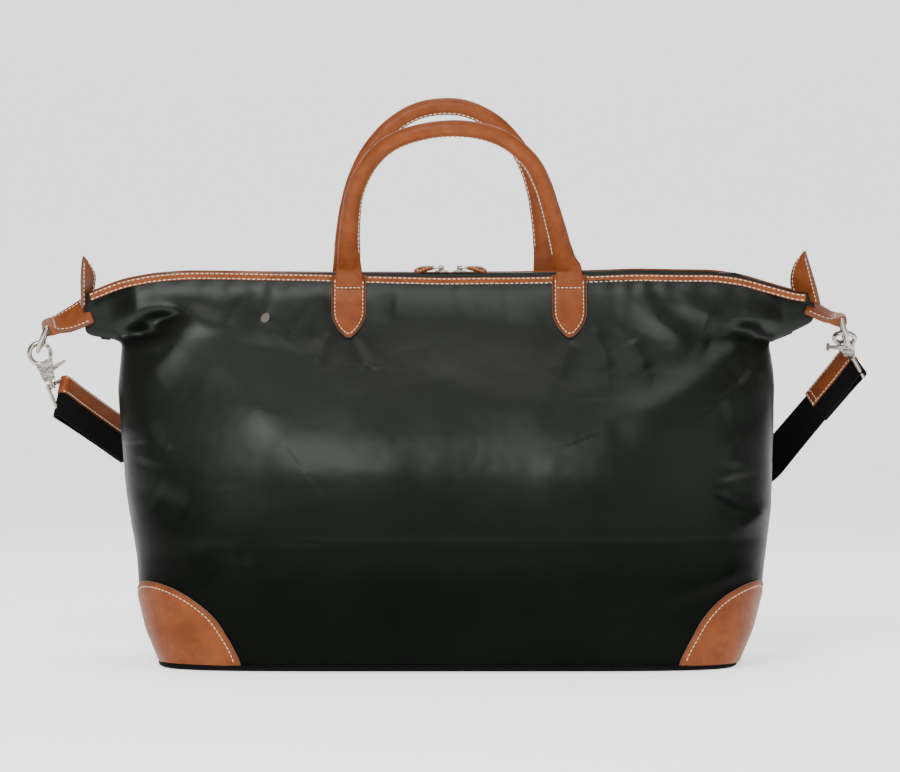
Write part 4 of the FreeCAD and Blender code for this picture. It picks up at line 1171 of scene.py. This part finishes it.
def zip_pull(end, side, x):
    """Leather tag on a slider's link, drooping away from its pin and rolled a little."""
    inner_x, outer_x = x + side * 5.0, x + side * 22.0
    middle = np.linspace(inner_x + side * 0.6, outer_x - side * 0.6, 22)
    along = np.concatenate([[inner_x], middle, [outer_x]])
    near = np.abs(along - inner_x)
    far = np.abs(along - outer_x)
    droop = 3.4 * (near / 17.0) ** 1.6
    line = np.stack([along, np.full_like(along, -0.4), PIN_LEVEL - droop], axis=1)
    roll = np.interp(near, [0, 3, 12], [0, 0.15, 0.62])
    out = np.stack([np.zeros_like(roll), np.cos(roll), np.sin(roll)], axis=1)
    ups = np.stack([np.zeros_like(roll), -np.sin(roll), np.cos(roll)], axis=1)
    half = np.where(far < 4, 4 * np.sqrt(np.clip(1 - ((4 - far) / 4.2) ** 2, 0.03, 1)), 4.0)
    half = half * np.interp(near, [0, 4, 10], [0.72, 0.82, 1.0])
    thick = np.interp(near, [0, 0.6, 3, 17], [1.9, 2.7, 2.9, 2.3])
    pull = Shape()
    pull.tube(line, out, ups, lambda i: rounded_slab(2 * half[i], thick[i], 0.35, 3))
    pull.make("zip_pull_%s_leather" % end, leather, end + "_pull", ["zip_pull_" + end])
    loop = resample([(3, -2.2), (13.6, -2.8), (15.2, 0), (13.6, 2.8), (3, 2.2)], 0.8)
    places = np.interp(loop[:, 0], near, np.arange(len(along))).round().astype(int)
    sewn = Shape()
    for face_sign in (1, -1):
        outline = line[places] + out[places] * loop[:, 1:2] + ups[places] * 1.25 * face_sign
        outline[:, 0] = inner_x + side * loop[:, 0]
        sewn.stitches(outline, ups[places] * face_sign, 2.8, radius=0.3)
    sewn.make("zip_pull_%s_stitch" % end, thread, end + "_pull")


zip_pull("left", -1, -5.5)
zip_pull("right", 1, 9.5)


# ------------------------------------------------- end chapes and standing ears
def chape(end, root, bar, tilts):
    """Folded leather strap from the bag's end to the D ring, its face turned forward."""
    root, bar = np.array(root, float), np.array(bar, float)
    away = unit((bar - root)[None])[0]
    long = np.linalg.norm(bar - root)
    turn = np.linspace(0, math.pi, 15)
    far = np.concatenate([np.linspace(-3.0, long - 5.0, 18), long - 4.7 * np.cos(turn)])
    share = np.clip(far / long, 0, 1)
    sag = -1.6 * np.sin(share * math.pi)
    line = root + away * far[:, None] + np.array([0, 0, 1.0]) * sag[:, None]
    tilt = np.radians(np.interp(share, [0, 0.5, 1], [tilts[0], (tilts[0] * 2 + tilts[1]) / 3, tilts[1]]))
    wide_way = np.stack([np.zeros_like(tilt), np.cos(tilt), np.sin(tilt)], axis=1)
    wide_way = unit(wide_way - away * (wide_way @ away)[:, None])
    face_way = np.cross(away, wide_way)
    face_way = face_way * (-1 if face_way[0, 1] > 0 else 1)
    round_end = 4.7 * np.sqrt(np.clip(1 - ((far - long) / 4.75) ** 2, 0.004, 1))
    flat_end = np.interp(far, [-3, long - 9, long - 3, long], [1.7, 1.9, 4.2, 4.7])
    half = np.where(far > long, round_end, flat_end)
    strip = Shape()
    strip.tube(line, wide_way, face_way, lambda i: rounded_slab(24.0, 2 * half[i], 0.3, 3))
    strip.make("end_chape_%s_leather" % end, leather, "bag", ["end_chape_" + end])
    sewn = Shape()
    keep = slice(2, 17)
    top = line + face_way * half[:, None]
    for across in (9.9, -9.9):
        sewn.stitches(top[keep] + wide_way[keep] * across, face_way[keep], 3.5)
    k = 16
    cross_line = np.stack([top[k] + wide_way[k] * t for t in np.linspace(-9.5, 9.5, 9)])
    sewn.stitches(cross_line, np.tile(face_way[k], (9, 1)), 3.2)
    sewn.make("end_chape_%s_stitch" % end, thread, "bag")
    hole = Shape()
    k = int(np.argmin(np.abs(far - long)))
    ends = np.stack([line[k] - wide_way[k] * 12.15, line[k] + wide_way[k] * 12.15])
    hole.tube(ends, np.tile(away, (2, 1)), np.tile(face_way[k], (2, 1)), oval(3.2, 3.2, 16))
    hole.make("end_chape_%s_bore" % end, edge, "bag")
    rim = Shape()
    for across in (11.9, -11.9):
        rim_line = line[:17] + wide_way[:17] * across + face_way[:17] * (half[:17, None] - 0.8)
        rim.tube(rim_line, wide_way[:17], face_way[:17], oval(0.4, 0.8))
    rim.make("end_chape_%s_edge" % end, edge, "bag")


def ear(end, near_points, far_points):
    """Leaf of leather that stands up at the end of the mouth, cupped and stitched."""
    rows = 26
    near = smooth_path(near_points, 1.0)
    far = smooth_path(far_points, 1.0)
    t = np.linspace(0, 1, rows)
    near = np.stack([np.interp(t, np.linspace(0, 1, len(near)), near[:, k]) for k in range(3)], axis=1)
    far = np.stack([np.interp(t, np.linspace(0, 1, len(far)), far[:, k]) for k in range(3)], axis=1)
    across = np.linspace(0, 1, 13)
    points = near[:, None, :] * (1 - across[None, :, None]) + far[:, None, :] * across[None, :, None]
    normal = grid_normals(points, np.tile([0, -1.0, 0], (*points.shape[:2], 1)))
    cup = np.sin(across * math.pi)[None, :] * np.linspace(1.8, 0.2, rows)[:, None]
    points = points - normal * cup[..., None]
    normal = grid_normals(points, np.tile([0, -1.0, 0], (*points.shape[:2], 1)))
    high = np.full(points.shape[:2], 1.25)
    high[:, (0, -1)] = 0.1
    high[-1, :] = 0.1
    high[:, (1, -2)] = 1.0
    leaf = Shape()
    for sign in (1, -1):
        skin = points + normal * high[..., None] * sign
        flip = (end == "right") == (sign > 0)
        leaf.add(skin.reshape(-1, 3), grid_faces(*points.shape[:2], flip=flip))
    leaf.make("end_ear_%s_leather" % end, leather, "bag", ["end_ear_" + end])
    sewn = Shape()
    for column in (1, 11):
        for sign in (1, -1):
            place = points[1:-3, column] + normal[1:-3, column] * 1.1 * sign
            sewn.stitches(place, normal[1:-3, column] * sign, 3.5)
    sewn.make("end_ear_%s_stitch" % end, thread, "bag")
    rim = Shape()
    loop = np.vstack([points[:, 0], points[::-1, -1]])
    ups = np.vstack([normal[:, 0], normal[::-1, -1]])
    rim.bead(loop, ups, oval(0.45, 1.25))
    rim.make("end_ear_%s_edge" % end, edge, "bag")


chape("left", (-293, 0, 283), (-324.5, 0, 270), (62, 18))
chape("right", (293.5, 0, 286.5), (318.4, 0, 276), (30, 8))
ear("left", [(-295.5, -11, 286), (-296, -11, 304), (-296, -6, 317), (-295.2, 0, 327.5)],
    [(-289.5, 8, 291), (-287.6, 12, 304), (-287.4, 9, 314), (-294.8, 0.4, 327.4)])
ear("right", [(300.5, -8, 289), (297, -10, 303), (292.8, -5.5, 318), (288.9, 0, 331.5)],
    [(280.5, 8, 295), (278.6, 12, 308), (281.4, 7, 321), (288.3, 0.4, 331.4)])


# ------------------------------------------------ CAD parts that stay in view
def finish_node(node_name, look):
    """Give a carried-over CAD part its material."""
    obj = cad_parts[node_name]
    obj.data.materials.clear()
    obj.data.materials.append(look.material)


METAL = [
    "zip_slider", "zip_link", "d_ring", "hook_eye", "hook_body", "hook_rivet", "hook_trigger", "hook_spring",
]
for kind in METAL:
    for end in ("left", "right"):
        finish_node("%s_%s" % (kind, end), nickel)
for end in ("left", "right"):
    finish_node("zip_stop_" + end, coil)
finish_node("base_board", board)


# ---------------------------------------------------------- floor and backdrop
BACKDROP_START = 5.2
BACKDROP_TURN = 1.5
BACKDROP_TOP = 6.0
# Just under the base, so that the two faces don't share a plane.
FLOOR_LEVEL = -0.0002
sweep_line = [(-7.0, FLOOR_LEVEL), (BACKDROP_START, FLOOR_LEVEL)]
for step in range(1, 13):
    turn = step / 12 * math.pi / 2
    forward = BACKDROP_TURN * math.sin(turn)
    sweep_line.append((BACKDROP_START + forward, BACKDROP_TURN * (1 - math.cos(turn))))
sweep_line.append((BACKDROP_START + BACKDROP_TURN, BACKDROP_TOP))
backdrop = Shape()
backdrop.add([(x * 1000, y * 1000, z * 1000) for y, z in sweep_line for x in (-8.0, 8.0)],
             [(2 * i, 2 * i + 1, 2 * i + 3, 2 * i + 2) for i in range(len(sweep_line) - 1)])
mesh_piece("backdrop", backdrop.verts, backdrop.faces, floor_look)
